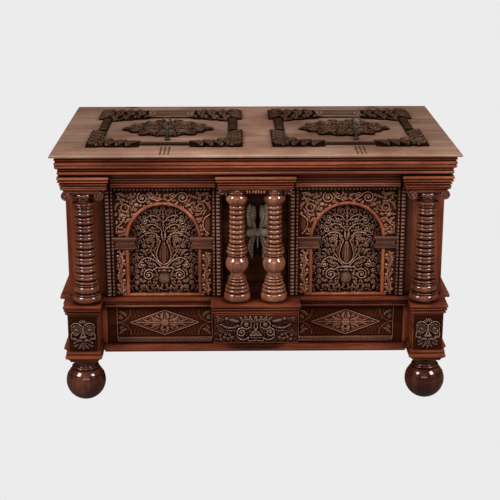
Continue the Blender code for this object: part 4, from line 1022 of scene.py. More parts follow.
for side in SIDES:
    node = "small_column_" + side
    low, high = box_of(node)
    profile = small_column_profile(high[2], low[2])
    turned_piece("small_column_turned_" + side, profile, node, OAK_SMALL_TURNED)


def foot_profile(top):
    """Ball foot: neck, bead, a cap ring marked by a groove, and the ball on its small sole."""
    points = [(0.0335, top), (0.0300, top - 0.0060), (0.0272, 0.0945), (0.0268, 0.0915)]
    points += bead(0.0905, 0.0838, 0.0275, 0.0350)
    centre, radius = 0.0480, 0.0505
    points.append((0.0330, 0.0832))
    for first, last, inset in ((42, 27, 0.0006), (25.5, 25.5, 0.0020), (24, -71.5, 0.0)):
        for angle in np.linspace(first, last, 1 + abs(int(first - last)) // 2):
            a = math.radians(angle)
            points.append(((radius - inset) * math.cos(a), centre + (radius - inset) * math.sin(a)))
    points.append((0.0140, 0.0))
    return points


for end in ("front", "back"):
    for side in SIDES:
        node = "foot_" + end + "_" + side
        turned_piece(node + "_turned", foot_profile(box_of(node)[1][2]), node, OAK_FEET)


# Arched panels: sizes in millimetres from the middle of the unit and from its bottom
ARCH_HALF = 92.0
ARCH_SILL = 8.5
ARCH_SPRING = 152.0
# Half width of the moulding round the opening; the carved panel reaches as far
ARCH_MARGIN = 4.0
IMPOST_LOW, IMPOST_HIGH = 123.0, 158.0
IMPOST_INNER, IMPOST_OUTER = 67.0, 129.0
RIPPLE_PITCH = 9.3
RIPPLE_TOP = 15.3


def in_arch(u, v, margin=0.0):
    """True inside the arched opening, grown by a margin."""
    half = ARCH_HALF + margin
    return (v > ARCH_SILL - margin) & np.where(
        v < ARCH_SPRING, np.abs(u) < half, u**2 + (v - ARCH_SPRING) ** 2 < half**2
    )


def arch_panel_relief(half, height):
    """The carved panel: a tulip on a cup, arching scrolls, a hatched fruit and dense foliage."""
    relief = Relief((-half, half), (0, height), CARVING_STEP)
    relief.flips = (1, -1)
    tall = 7.0
    # Tulip: a smooth grooved bulb
    for v in np.arange(84, 138, 3.0):
        relief.dab(0, v, 15.5 * math.sin(math.pi * ((v - 78) / 68) ** 0.75), tall * 0.72, flat=0.7)
    for u in (0, -6):
        relief.stroke([(u, 134 + 2 * u), (1.2 * u, 90)], 1.6, 2.2, (0.6, 0.6), "cut")
    # Cup and hatched fruit
    relief.oval(0, 72, 14, 5, tall)
    relief.oval(0, 64, 7, 4, tall * 0.9)
    relief.oval(0, 42, 15.5, 17, tall * 0.95, flat=0.4)
    for offset in np.arange(-12, 13, 4.8):
        reach = 0.7 * math.sqrt(15**2 - offset**2)
        shift = 0.7 * offset
        line = [(shift - reach, 42 - shift - reach), (shift + reach, 42 - shift + reach)]
        relief.stroke(line, 1.5, 2.2, on="cut")
    # Bright outline of the tulip, stems that rise in a wide V, stems of the scrolls, and the top stem
    relief.strokes(
        tall,
        ([(0, 79), (-12, 87), (-18.5, 104), (-14.5, 124), (-8, 142)], 3.2, 1),
        ([(-6, 80), (-20, 94), (-30, 108), (-39, 124)], 3.2, 1, (1, 0.6)),
        ([(-8, 76), (-24, 91), (-42, 98), (-57, 91), (-64, 80)], 3.8, 1, (1, 0.8)),
        ([(-6, 70), (-18, 71), (-28, 66)], 3.2, 0.9),
        ([(0, 168), (0, 230)], 2.8, 0.9),
    )
    relief.scrolls(
        tall,
        (-57, 78, 8.5, 1.5, 60, 3.2, 1, 1),
        (-39, 52, 14.5, 1.8, 50, 3.8, 1, 1),
        (-72, 128, 8.5, 1.4, -30, 3.2, 0.85, 1),
    )
    # Branches above: pairs of curling stems
    for points, width in (
        ([(-10, 152), (-26, 163), (-44, 161), (-58, 150)], 3.2),
        ([(-3, 168), (-14, 180), (-30, 186), (-48, 180)], 3.2),
        ([(-2, 192), (-14, 205), (-30, 209), (-44, 202)], 3.0),
    ):
        relief.stroke(points, width, tall, (1, 0.7))
        u, v = points[-1]
        relief.scroll(u - 3, v - 8, 8.5, 1.5, 70, 3.2, tall * 0.95, 1)
    # Flowers up the lower sides and among the branches
    for v in (31, 46, 61, 76):
        relief.rosette(-70, v, 7.6, 6, tall * 0.85)
    for u, v, size in (
        (0, 228, 8), (-20, 223, 8), (-31, 145, 8.5), (-50, 130, 8), (-24, 195, 7.5), (-66, 178, 8)
    ):
        relief.rosette(u, v, size, 6, tall * 0.9)
    # Petals that flare at the tulip's top, leaves along the sill and leaves on the branches
    for u in (-12, -26, -40, -54, -68, -80):
        relief.leaf((u, 10), (u - 5, 25), 9, tall * 0.8, 0.15, 2)
    relief.leaves(
        tall,
        (-8, 140, -18, 163, 7.5, 1, 0.12), (-1.5, 142, -4, 170, 6.5, 1, 0.05),
        (-24, 82, -46, 86, 8, 0.85, 0.1), (-20, 34, -30, 22, 8, 0.8, 0.1),
        (-58, 96, -76, 108, 10, 0.85, 0.15), (-44, 104, -64, 118, 10, 0.9, -0.2),
        (-16, 168, -38, 174, 9, 0.85, 0.15), (-26, 124, -22, 142, 8, 0.85, 0.2),
        (-54, 192, -66, 204, 9, 0.85, -0.15), (-40, 214, -52, 222, 8, 0.8, 0.1),
    )
    relief.fill(9.5, tall * 0.8, seed=5, inside=lambda u, v: in_arch(u, v, ARCH_MARGIN), flow=(0, 60))
    return relief.finish()


def spandrel_relief(half, height, outer):
    """The board round the arch: scrolling spandrels above, foliate strips beside the opening."""
    relief = Relief((-half, half), (0, height), CARVING_STEP)
    tall = 3.8
    for hand in (-1, 1):
        # Foliate strip beside the jamb: a waving stem with leaves and curls
        middle = hand * (ARCH_HALF + half + ARCH_MARGIN) / 2
        wave = [(middle + 5.5 * math.sin(v / 12.0), v) for v in np.arange(8, 122, 6.0)]
        relief.stroke(wave, 4.6, tall)
        for index, v in enumerate(np.arange(14, 118, 13.0)):
            lean = 1 if index % 2 else -1
            relief.leaf((middle, v - 6), (middle + lean * 12, v + 8), 11, tall * 0.95, 0.25 * lean, 2)
            relief.dab(middle - lean * 8, v + 2, 4.6, tall)
        # Spandrel: roundel with a dark eye, bold curls, and either an almond or a wavy stem
        relief.ring(hand * 95, 233, 9.5, 9.5, 3.6, tall * 1.1)
        relief.scroll(hand * 50, 259, 14, 1.6, 120, 4.4, tall * 1.1, -hand)
        relief.scroll(hand * 25, 263, 8.5, 1.5, 0, 3.2, tall, hand)
        relief.oval(hand * 66, 241, 7, 6, tall)
        relief.stroke([(hand * 12, 250), (hand * 28, 259), (hand * 40, 270)], 3.4, tall)
        relief.leaves(
            tall,
            (hand * 70, 262, hand * 88, 256, 9, 1, 0.1 * hand),
            (hand * 92, 262, hand * 117, 270, 11, 1, 0.1 * hand),
            (hand * 80, 226, hand * 74, 238, 8, 0.9, 0.2 * hand),
            (hand * 108, 246, hand * 119, 226, 9, 0.9, 0.2 * hand),
        )
        if hand != outer:
            edge = [(119, 216), (105, 205), (101, 190), (106, 174), (116, 164)]
            relief.stroke([(hand * u, v) for u, v in edge], 3.0, tall * 1.2)
            relief.oval(hand * 112, 190, 8, 22, tall * 0.4, flat=0.25)
        else:
            stem = [(118, 168), (117, 182), (106, 192), (98, 204)]
            relief.stroke([(hand * u, v) for u, v in stem], 3.4, tall * 1.1)
            relief.leaf((hand * 119, 167), (hand * 100, 170), 10, tall, 0.1)
            relief.oval(hand * 104, 214, 8, 6, tall, turn=30)

    def bare(u, v):
        almond = abs(abs(u) - 112) < 11 and abs(v - 190) < 27 and np.sign(u) != outer
        return not almond and not in_arch(u, v, ARCH_MARGIN) and not IMPOST_LOW - 3 < v < IMPOST_HIGH + 3

    relief.fill(10.5, tall * 0.9, seed=11, inside=bare, flow=(0, ARCH_SPRING))
    return relief.finish(roughness=0.08)


def ripple_relief(width, length, broad, narrow):
    """A strip of rippled moulding: a broad and a narrow row of waves at shares of its width, in fillets."""
    relief = Relief((0, width), (0, length), CARVING_STEP)
    u, v = relief.u[None, :], relief.v[:, None]
    wave = np.sqrt(np.clip(1 - (2 * ((v / RIPPLE_PITCH) % 1.0) - 1) ** 2, 0, 1))
    for middle, half, tall in ((broad, 0.25, 5.0), (narrow, 0.14, 3.8)):
        across = np.sqrt(np.clip(1 - ((u / width - middle) / half) ** 2, 0, 1))
        relief.h = np.maximum(relief.h, tall * wave * across)
    fillet = (u < 0.04 * width) | (u > 0.96 * width)
    relief.h = np.maximum(relief.h, np.where(fillet, 2.4, 0.0) + 0 * v)
    return relief.finish(roughness=0.05)


def half_round(width, rise, depth, steps=8):
    """Profile of a bar: a rounded face of the given rise on a body of the given depth."""
    points = [(-width / 2, -depth)]
    for index in range(steps + 1):
        angle = math.pi * index / steps
        points.append((-width / 2 * math.cos(angle), rise * math.sin(angle) ** 0.7))
    points.append((width / 2, -depth))
    return points


# Impost: fillet, dark hollow between two fine lines, and a rounded lower part
IMPOST_STEPS = (
    (0, 3.0), (0.8, 0.6), (7.6, 0.6, 0.9), (8.2, 2.6), (10.8, 2.6, 0.8), (11.4, 4.6), (22.0, 4.8, -0.3),
    (22.6, 2.8), (25.4, 3.0, 0.8), (26.0, 4.8), (34.0, 5.6, 2.2), (35.0, 8.5),
)
# Ground of the spandrels and line of the mouldings behind the front of the frame, and the board's thickness
SPANDREL_SINKING = 0.0035
SPANDREL_BACK = 0.0115
# Ground of the arch panels behind the front of their solids, and the gap at their back
PANEL_SINKING = 0.0045
PANEL_GAP = 0.0003
# How far the imposts stand before the front of the frame, and reach behind it
IMPOST_STAND, IMPOST_BACK = 0.0070, 0.0145
IMPOST_EDGE = 0.0004
# Gap in millimetres beside each ripple strip, the sinking of its ground and the gap at its back
RIPPLE_GAP = 0.3
RIPPLE_SINKING = 0.0030
RIPPLE_BACK_GAP = 0.0002
# Middles of the broad and the narrow row of waves as shares of a strip's width, from its left or top
LEFT_ROWS, RIGHT_ROWS = (0.33, 0.79), (0.67, 0.21)


def impost_shape(centre_x, front, bottom, hand):
    ends = sorted(centre_x + hand * reach * MM for reach in (IMPOST_INNER, IMPOST_OUTER))
    levels = profile_levels(bottom + IMPOST_HIGH * MM, IMPOST_STEPS)
    inner_side = "left" if hand > 0 else "right"
    return moulded(ends, (front - IMPOST_STAND, front + IMPOST_BACK), levels, (inner_side, "front"))


def arch_moulding_shapes(low, high, centre_x):
    """The bright strip round the opening, and the sill."""
    line_y, bottom = low[1] + SPANDREL_SINKING, low[2]
    spring, line = bottom + ARCH_SPRING * MM, ARCH_HALF * MM
    jamb = [(centre_x + line, line_y, z) for z in np.linspace(bottom + 0.002, spring, 14)]
    arch = [
        (centre_x + line * math.cos(angle), line_y, spring + line * math.sin(angle))
        for angle in np.linspace(0, math.pi, 64)[1:-1]
    ]
    path = jamb + arch + [(2 * centre_x - x, y, z) for x, y, z in reversed(jamb)]
    sill = [(x, line_y, bottom + 0.0025) for x in np.linspace(low[0] + 0.020, high[0] - 0.020, 12)]
    return [
        strip(path, (0, -1, 0), half_round(0.0086, 0.0052, 0.0108)),
        strip(sill, (0, -1, 0), half_round(0.0088, 0.0048, 0.0108)),
    ]


for side, sign in SIDES.items():
    node = "arch_frame_" + side
    low, high = box_of(node)
    centre_x = (low[0] + high[0]) / 2
    front, bottom = low[1], low[2]
    half, tall = (high[0] - low[0]) / 2 / MM, (high[2] - low[2]) / MM
    carving(
        node + "_carved", spandrel_relief(half, tall, sign),
        facing(centre_x, front + SPANDREL_SINKING, bottom), SPANDREL_BACK, OAK_SPANDREL, node,
        keep=lambda u, v: ~in_arch(u, v, 1.0),
    )

    panel = "arch_panel_" + side
    panel_low, panel_high = box_of(panel)
    ground = panel_low[1] + PANEL_SINKING
    carving(
        "arch_panel_carved_" + side,
        arch_panel_relief(ARCH_HALF + ARCH_MARGIN, ARCH_SPRING + ARCH_HALF + ARCH_MARGIN),
        facing(centre_x, ground, bottom), panel_high[1] - ground - PANEL_GAP, OAK_CARVED, panel,
    )

    shaped("arch_mouldings_" + side, joined(*arch_moulding_shapes(low, high, centre_x)), OAK_ARCH, node, ())
    imposts = joined(*(impost_shape(centre_x, front, bottom, hand) for hand in (-1, 1)))
    joinery("arch_imposts_" + side, imposts, OAK_IMPOST, node, (), IMPOST_EDGE)

    # Ripple strips at both sides and along the top
    node = "ripple_frame_" + side
    low, high = box_of(node)
    width = (high[0] - low[0]) / 2 / MM - half - RIPPLE_GAP
    face = low[1] + RIPPLE_SINKING
    thick = high[1] - face - RIPPLE_BACK_GAP
    for hand, edge in ((-1, low[0]), (1, high[0] - width * MM)):
        rows = LEFT_ROWS if hand < 0 else RIGHT_ROWS
        name = "ripple_strip_%s_%s" % (side, "outer" if hand == sign else "inner")
        relief = ripple_relief(width, (high[2] - low[2]) / MM, *rows)
        carving(name, relief, facing(edge, face, low[2]), thick, OAK_RIPPLED, node)
    left_end = low[0] + (width + RIPPLE_GAP) * MM
    span = (high[0] - low[0]) / MM - 2 * (width + RIPPLE_GAP)

    def across_top(u, v, h, x=left_end, y=face, z=high[2]):
        return np.stack([x + v, y - h, z - u], axis=1)

    relief = ripple_relief(RIPPLE_TOP, span, *RIGHT_ROWS)
    carving("ripple_strip_%s_top" % side, relief, across_top, thick, OAK_RIPPLED, node, ())


# Plinth fields: a lozenge in double lines on each side of the centre block
LOZENGE_CENTRE = (0.2337, 0.1885)
LOZENGE_HALF = (88.0, 33.5)
PLINTH_SEED = 3
# Size of the lozenge's inner lines as a share of its outer ones
INNER_LINE = 0.86
# Ground of the carving behind the front, the gap at its back, and its reach behind the centre block
PLINTH_SINKING = 0.0015
PLINTH_GAP = 0.0002
BLOCK_OVERLAP = 0.006


def plinth_relief(near, far, low, high, seed):
    """One half of the plinth, with the lozenge at the origin; near is the side of the centre block."""
    relief = Relief((-far, near), (low, high), CARVING_STEP)
    tall = 2.6
    half_u, half_v = LOZENGE_HALF
    corners = [(-half_u, 0), (0, half_v), (half_u, 0), (0, -half_v), (-half_u, 0)]
    for start, end in zip(corners, corners[1:]):
        relief.stroke([start, end], 2.6, tall)
        inner = [(INNER_LINE * u, INNER_LINE * v) for u, v in (start, end)]
        relief.stroke(inner, 1.8, tall * 0.7)
    relief.flips = (1, -1)
    # Foliage inside the lozenge: a central flower and leaves that run out to the tips
    relief.rosette(0, 0, 10, 8, tall * 1.1)
    for v in (-1, 1):
        relief.leaves(
            tall,
            (-6, 8 * v, -4, 26 * v, 9, 1, 0.15 * v), (-12, 5 * v, -34, 15 * v, 9, 1, 0.12 * v),
            (-34, 3 * v, -56, 9 * v, 7, 0.9, 0.1 * v), (-52, 1.5 * v, -72, 3 * v, 5, 0.8, 0.1 * v),
        )
        relief.scroll(-26, 7 * v, 6, 1.4, 180, 2.6, tall, v)
    relief.stroke([(-10, 0), (-76, 0)], 2.6, tall, (1, 0.5))
    relief.fill(7.5, tall * 0.8, seed, lambda u, v: abs(u) / half_u + abs(v) / half_v < 0.80)
    # Quarter-circle lines and leaves in the corners of the field
    edge_u, edge_v = near - 6, half_v + 1
    for v in (-1, 1):
        relief.ring(-edge_u, edge_v * v, 34, 34, 1.8, tall * 0.6, (0, -90 * v))
        root, tip = (-edge_u + 4, (edge_v - 4) * v), (-edge_u + 22, (edge_v - 17) * v)
        relief.leaf(root, tip, 9, tall * 0.8, 0.1, 2)
        relief.scroll(-edge_u + 8, (edge_v - 20) * v, 6, 1.3, 90, 2.2, tall * 0.7, v)
    # Faint slanting tool lines on the ground outside the lozenge
    for u in np.arange(20, near - 12, 9.0):
        for v in (-1, 1):
            start = half_v * (1 - u / half_u) + 7 if u < half_u else 6
            if start < edge_v - 6:
                relief.stroke([(-u, start * v), (-u - 7, edge_v * v)], 2.2, 0.7)
    relief.flips = (1,)
    for u in (near - 4, -near + 4):
        relief.stroke([(u, low + 14), (u, high - 4)], 1.8, tall * 0.8)
    # Punched band along the bottom
    band = (np.abs(relief.u[None, :]) < near - 5) & (np.abs(relief.v[:, None] - low - 9.5) < 7.0)
    relief.h = np.maximum(relief.h, np.where(band, 2.0, 0.0))
    for row, v in enumerate((low + 5.5, low + 9.5, low + 13.5)):
        for u in np.arange(-near + 8 + 3.0 * (row % 2), near - 7, 6.0):
            relief.dab(u, v, 2.0, 1.8, "cut")
    return relief.finish(roughness=0.14)


plinth_low, plinth_high = box_of("plinth_front")
plinth_thick = plinth_high[1] - plinth_low[1] - PLINTH_SINKING - PLINTH_GAP
for side, sign in SIDES.items():
    near = (LOZENGE_CENTRE[0] - block_high[0] + BLOCK_OVERLAP) / MM
    far = (plinth_high[0] - LOZENGE_CENTRE[0]) / MM
    low = (plinth_low[2] - LOZENGE_CENTRE[1]) / MM
    high = (plinth_high[2] - LOZENGE_CENTRE[1]) / MM
    relief = plinth_relief(near, far, low, high, PLINTH_SEED)
    if sign > 0:
        relief.u = -relief.u[::-1]
        relief.h = relief.h[:, ::-1]
    place = facing(sign * LOZENGE_CENTRE[0], plinth_low[1] + PLINTH_SINKING, LOZENGE_CENTRE[1])
    carving("plinth_carved_" + side, relief, place, plinth_thick, OAK_PLINTH, "plinth_front")


def centre_mask_relief(half, tall_face):
    """Grotesque of leaves: crown, smooth wings, round eyes, wedge nose, scroll cheeks, garlands."""
    relief = Relief((-half, half), (0, tall_face), CARVING_STEP * 0.85)
    relief.flips = (1, -1)
    tall = 6.0
    relief.stroke([(-half + 14, tall_face - 2), (0, tall_face - 2)], 2.2, 2.4)
    # Crown of leaves, leaves beside the garlands, and corner leaves
    relief.leaves(
        tall,
        (0, 52, 0, 70, 12, 1), (-7, 53, -14, 70, 11, 1, 0.12), (-15, 53, -27, 70, 11, 0.95, 0.12),
        (-24, 55, -40, 68, 10, 0.9, 0.12), (-56, 22, -48, 40, 8, 0.7, 0.1),
        (-80, 26, -94, 36, 9, 0.75, 0.2), (-66, 24, -84, 33, 8, 0.7, 0.2),
        (-78, 60, -98, 70, 11, 0.8, 0.15), (-84, 54, -100, 52, 9, 0.75, -0.15),
    )
    relief.scroll(-93, 61, 6, 1.4, 0, 2.8, tall * 0.8, 1)
    # Smooth wings
    relief.oval(-56, 58, 19, 6.5, tall * 0.95, flat=0.6, turn=-14)
    relief.dab(-73, 63, 5.5, tall * 0.9)
    # Eyes and nose, then the brows, the nose's outline, cheeks and mouth
    relief.ring(-24, 47, 12.5, 10.5, 3.2, tall * 0.95)
    relief.dab(-24, 47, 8.0, tall)
    for share in np.linspace(0, 1, 16):
        relief.oval(0, 33 - 14 * share, max(13 * share, 1.5), 3.0, tall * (0.75 + 0.2 * share), flat=0.4)
    relief.strokes(
        tall,
        ([(-6, 54), (-16, 61), (-30, 60), (-38, 50)], 4.0, 0.95, (1, 0.6)),
        ([(0, 34), (-14, 19)], 3.4, 1),
        ([(-15, 18), (0, 18)], 3.0, 1),
        ([(-3, 50), (-4, 40), (0, 34)], 3.6, 0.9),
        ([(-48, 26), (-44, 12), (-30, 7), (-20, 12)], 4.0, 0.95, (0.8, 0.8)),
        ([(-18, 14), (-19, 5), (-10, 4), (0, 6)], 3.0, 0.95),
        ([(-14, 12), (0, 12)], 2.6, 0.8),
    )
    relief.scroll(-36, 27, 12.5, 1.6, 60, 4.2, tall, 1)
    relief.oval(-26, 34, 9, 6, tall * 0.7, flat=0.6)
    # Garlands of beads from the cheeks to the sides, and fruit in the lower corners
    relief.beads([(-44, 44), (-58, 39), (-74, 40), (-88, 48)], 5.0, 3.6, tall * 0.85)
    relief.beads([(-52, 33), (-62, 30), (-72, 32)], 5.0, 3.0, tall * 0.7)
    for u, v, size in (
        (-60, 12, 6), (-70, 9, 5.5), (-79, 13, 6), (-88, 8, 5.5), (-66, 20, 5), (-76, 22, 5), (-90, 19, 5)
    ):
        relief.dab(u, v, size, tall * 0.8)
        relief.dab(u + 1, v + 1, 1.3, 2.0, "cut")
    relief.fill(9.0, tall * 0.6, seed=5, flow=(0, 30))
    return relief.finish(roughness=0.16)


# Gap round the centre mask, the grounds of the masks behind the fronts, and the thickness of their backs
FACE_RISE = 0.0036
FACE_INSET = 0.0082
FACE_SINKING = 0.0078
SMALL_FACE_SINKING = 0.0088
SMALL_FACE_HALF = 36.5
MASK_BACK = 0.0015
DIE_GAP = 0.0005

face_low = block_low[2] + FACE_RISE
relief = centre_mask_relief((block_high[0] - FACE_INSET) / MM, (ledge_bottom - face_low) / MM)
place = facing(0, block_low[1] + FACE_SINKING, face_low)
carving("centre_mask", relief, place, MASK_BACK, OAK_MASK, "centre_block", ())


def pedestal_mask_relief(half, tall_face):
    """Small grotesque: fan crest, flower eyes under brows, wedge nose, moustache and leaf beard."""
    relief = Relief((-half, half), (0, tall_face), CARVING_STEP * 0.75)
    relief.flips = (1, -1)
    tall = 5.0
    for angle in (90, 62, 34):
        cosine, sine = math.cos(math.radians(angle)), math.sin(math.radians(angle))
        relief.leaf((-2 * cosine, 72 + 2 * sine), (-12 * cosine, 73 + 12 * sine), 5.4, tall, 0, 0)
    relief.rosette(-16.5, 58, 10.5, 7, tall * 0.85)
    relief.ring(-16.5, 58, 11.8, 11.2, 2.4, tall * 0.9)
    relief.dab(-16.5, 58, 4.4, tall * 1.1)
    # Brows, nose and cheeks
    relief.strokes(
        tall,
        ([(-3, 68), (-12, 75), (-24, 74), (-31, 64)], 3.6, 1, (1, 0.6)),
        ([(0, 66), (-1.5, 52), (-5, 40)], 5.0, 1),
        ([(-27, 52), (-30, 40), (-24, 32)], 3.2, 0.85),
        ([(-12, 46), (-20, 42), (-26, 46)], 2.4, 0.7),
    )
    relief.oval(-4, 38, 6.5, 5.0, tall * 1.05)
    # Moustache and beard
    relief.leaves(
        tall,
        (-2, 28, -18, 24, 8, 0.95, -0.2), (-14, 26, -31, 34, 8, 0.9, -0.2), (-1, 24, 0, 4, 9, 0.95),
        (-4, 22, -13, 8, 8, 0.9, 0.15), (-12, 20, -25, 14, 7, 0.8, 0.15),
    )
    relief.dab(-22, 22, 3.6, tall * 0.7)
    return relief.finish(roughness=0.12)


for side in SIDES:
    node = "pedestal_" + side
    low, high = box_of(node)
    die_low = low[2] + PAD_HEIGHT + DIE_GAP
    relief = pedestal_mask_relief(SMALL_FACE_HALF, (ledge_bottom - die_low) / MM)
    place = facing((low[0] + high[0]) / 2, low[1] + SMALL_FACE_SINKING, die_low)
    carving("pedestal_mask_" + side, relief, place, MASK_BACK, OAK_MASK, node, ())


# Niche between the small columns: hanging ornament, brackets and a bead band under the break
NICHE_PLACE = (0.006, 0.3597)
NICHE_RELIEF_BACK = 0.0140
NICHE_STAND = 0.0150
# Height in millimetres that counts as ornament, and the sum at a cell's corners that keeps it
NICHE_GROUND, NICHE_KEPT = 0.9, 1.2
# Beads: spacing, radius, half height, drop below the break and setback from its front
BEAD_PITCH, BEAD_RADIUS, BEAD_HALF = 0.0070, 0.0033, 0.0050
BEAD_DROP, BEAD_SETBACK = 0.0040, 0.0150


def niche_ornament_relief():
    """Two feathered lobes over a knot with two tails, hanging from the top."""
    relief = Relief((-34, 34), (-2, 146), CARVING_STEP)
    relief.flips = (1, -1)
    tall = 7.0
    relief.oval(-15, 112, 11, 30, tall, flat=0.6, turn=-8)
    relief.oval(-12, 70, 17, 12, tall, flat=0.5, turn=20)
    relief.oval(0, 68, 12, 9, tall * 1.1)
    relief.leaves(tall, (-8, 84, -20, 142, 18, 1, 0.08, 6), (-8, 62, -14, 4, 15, 0.9, -0.12, 5))
    relief.stroke([(0, 62), (0, 30)], 5, tall * 0.7, (1, 0.5))
    for v in np.arange(84, 140, 7.0):
        relief.stroke([(-4, v), (-26, v + 6)], 1.4, 1.6, (0.7, 0.7), "cut")
    return relief.finish(roughness=0.25)


relief = niche_ornament_relief()
solid_share = soft_blur((relief.h > NICHE_GROUND).astype(float), 2)
corner_sum = solid_share[:-1, :-1] + solid_share[1:, 1:] + solid_share[:-1, 1:] + solid_share[1:, :-1]
place = facing(NICHE_PLACE[0], box_of("front_board")[0][1] - NICHE_STAND, NICHE_PLACE[1])
carving(
    "niche_ornament", relief, place, NICHE_RELIEF_BACK, NICHE_CARVING, "front_board", (),
    lambda u, v: corner_sum > NICHE_KEPT,
)

bead_y = box_of("cornice_break_centre")[0][1] + BEAD_SETBACK
ball = [
    (BEAD_RADIUS * math.sin(a), BEAD_HALF * math.cos(a) + case_bottom - BEAD_DROP)
    for a in np.linspace(0.05, math.pi - 0.05, 12)
]
bead_row = [turned(ball, (index * BEAD_PITCH, bead_y), 16) for index in range(-3, 4)]
shaped("niche_bead_band", joined(*bead_row), OAK_SMALL_TURNED, "cornice_break_centre", (), None)

# Leaf brackets under the ends of the centre break: a scroll with a curling tail towards the column
TAIL = ((0.0010, 0.0018), (0.0042, 0.0), (0.0050, -0.0050), (0.0036, -0.0120), (0.0008, -0.0160))
brackets = []
column_low, column_high = box_of("small_column_right")
bracket_y = (column_low[1] + column_high[1]) / 2 - 0.016
for sign in SIDES.values():
    eye_x = sign * (column_high[0] + 0.0045)
    start = ((0.0200, 0.0030), (0.0090, 0.0026))
    curl = [(eye_x - sign * back, bracket_y, case_bottom - drop) for back, drop in start]
    curl += spiral(eye_x, case_bottom - 0.0080, bracket_y, sign, 0.0062, 1.6, 0.75, 40)
    brackets.append(tube(curl, np.linspace(0.0026, 0.0013, len(curl)), 10))
    tail = [(radius, case_bottom - 0.0020 + height) for radius, height in TAIL]
    brackets.append(turned(tail, (eye_x - sign * 0.0100, bracket_y + 0.003), 20))
shaped("break_brackets", joined(*brackets), OAK_TURNED, "cornice_break_centre", ())


# Lid frames: plain strips between carved corner ears, in millimetres from the middle of the frame's front
EAR_OUT = 13.0
STRIP_WIDE = 24.0
EAR_WIDE = 132.0
FRONT_EAR = 200.0
BACK_EAR = 130.0
FRONT_LOBES = 10.0
BACK_MARGIN = 26.0
# Carved brackets in the inner corners: how far they reach from each strip at places from the corner
FRONT_BRACKET = ((0, 25, 60, 100), (56, 34, 20, 0))
BACK_BRACKET = ((0, 25, 60, 100), (120, 104, 92, 76))
# Width that the plain band at the back has beyond the strips
BACK_BAND = 70.0


def frame_cells(half, deep):
    """A test for the eared frame's outline with lobed brackets in its inner corners."""
    def keep(u, v):
        wide = np.abs(u)
        front_part = v < deep / 2
        near_edge = np.where(front_part, v, deep - v)
        ear_u = wide > half - EAR_WIDE
        ear_v = near_edge < np.where(front_part, FRONT_EAR, BACK_EAR)
        outer_u = np.where(ear_v, half, half - EAR_OUT)
        lobes = FRONT_LOBES * (0.6 + 0.4 * np.abs(np.cos(wide * math.pi / 44.0)))
        outer_v = np.where(ear_u, np.where(front_part, -lobes, 0.0), EAR_OUT)
        in_outline = (wide < outer_u) & (near_edge > outer_v)
        inner = EAR_OUT + STRIP_WIDE
        corner_u, corner_v = half - inner - wide, near_edge - inner
        edge = np.where(front_part, np.interp(corner_u, *FRONT_BRACKET), np.interp(corner_u, *BACK_BRACKET))
        edge = edge + 6.0 * np.abs(np.sin(corner_u * math.pi / 34.0))
        bracket = (corner_u > 0) & (corner_u < 100) & (corner_v < edge)
        bracket |= (corner_u >= 100) & ~front_part & (corner_v < BACK_BAND)
        return in_outline & ((near_edge < inner) | (wide > half - inner) | bracket)
    return keep


def lid_frame_relief(half, deep, seed):
    """Ears and brackets of bold overlapping leaves and curls, and plain rounded strips between them."""
    back = deep - BACK_MARGIN
    relief = Relief((-half, half), (-FRONT_LOBES - 2, back), LID_CARVING_STEP)
    relief.flips = (1, -1)
    tall = 8.0
    keep = frame_cells(half, back)
    u, v = np.meshgrid(relief.u, relief.v)
    wide, near_edge = np.abs(u), np.minimum(v, back - v)
    strips = np.maximum(
        1 - ((near_edge - EAR_OUT - 12) / 12.5) ** 2, 1 - ((half - wide - EAR_OUT - 12) / 12.5) ** 2
    )
    ear = wide > half - EAR_WIDE
    ear &= (v < FRONT_EAR) | (v > back - BACK_EAR)
    band = ~ear & (v > back - EAR_OUT - STRIP_WIDE - BACK_BAND) & (wide < half - EAR_OUT - STRIP_WIDE)
    plain = np.where(band, 3.2 + 1.6 * ((back - v) % 50 < 7), 4.2 * np.sqrt(np.clip(strips, 0, 1)))
    relief.h = np.where(ear, 0.6, plain)
    relief.pale = np.where(band, 0.34, np.where(ear, 0.0, 0.1))
    # Ears: leaves along the arms and along the front and back edges
    for place in np.arange(6, FRONT_EAR - 30, 33.0):
        relief.leaf((-half + 38, place), (-half + 2, place + 40), 24, tall, 0.1, 3)
    for place in np.arange(back - BACK_EAR + 4, back - 36, 33.0):
        relief.leaf((-half + 2, place), (-half + 38, place + 38), 24, tall, 0.1, 3)
    for place in np.arange(half - EAR_WIDE + 10, half - 26, 25.0):
        relief.leaf((-place, 38), (-place - 20, -8), 20, tall, -0.12, 3)
        relief.leaf((-place, back - 40), (-place - 20, back - 3), 20, tall, 0.12, 3)
    # Brackets: a bold curl in each inner corner with leaves that trail off to both sides
    inner, first = half - EAR_OUT - STRIP_WIDE, EAR_OUT + STRIP_WIDE
    last = back - first
    relief.scroll(-inner + 13, first + 16, 16, 1.5, 45, 8, tall, 1)
    relief.leaves(
        tall,
        (-inner + 4, first + 22, -inner + 2, first + 60, 18, 1, 0.1),
        (-inner + 26, first + 4, -inner + 62, first + 18, 22, 1, -0.12),
        (-inner + 56, first + 2, -inner + 98, first + 6, 16, 1, -0.1, 2),
    )
    for place in -inner + np.arange(8, 100, 30.0):
        relief.leaves(
            tall,
            (place, last, place + 8, last - 50, 26, 1, 0.1),
            (place + 6, last - 44, place, last - 100, 24, 1, -0.1),
        )
    relief.rosette(-half + 20, 20, 17, 7, tall)
    relief.rosette(-half + 20, back - 20, 17, 7, tall)
    relief.fill(11.0, tall * 0.8, seed, keep)
    return relief.finish(roughness=0.25), keep


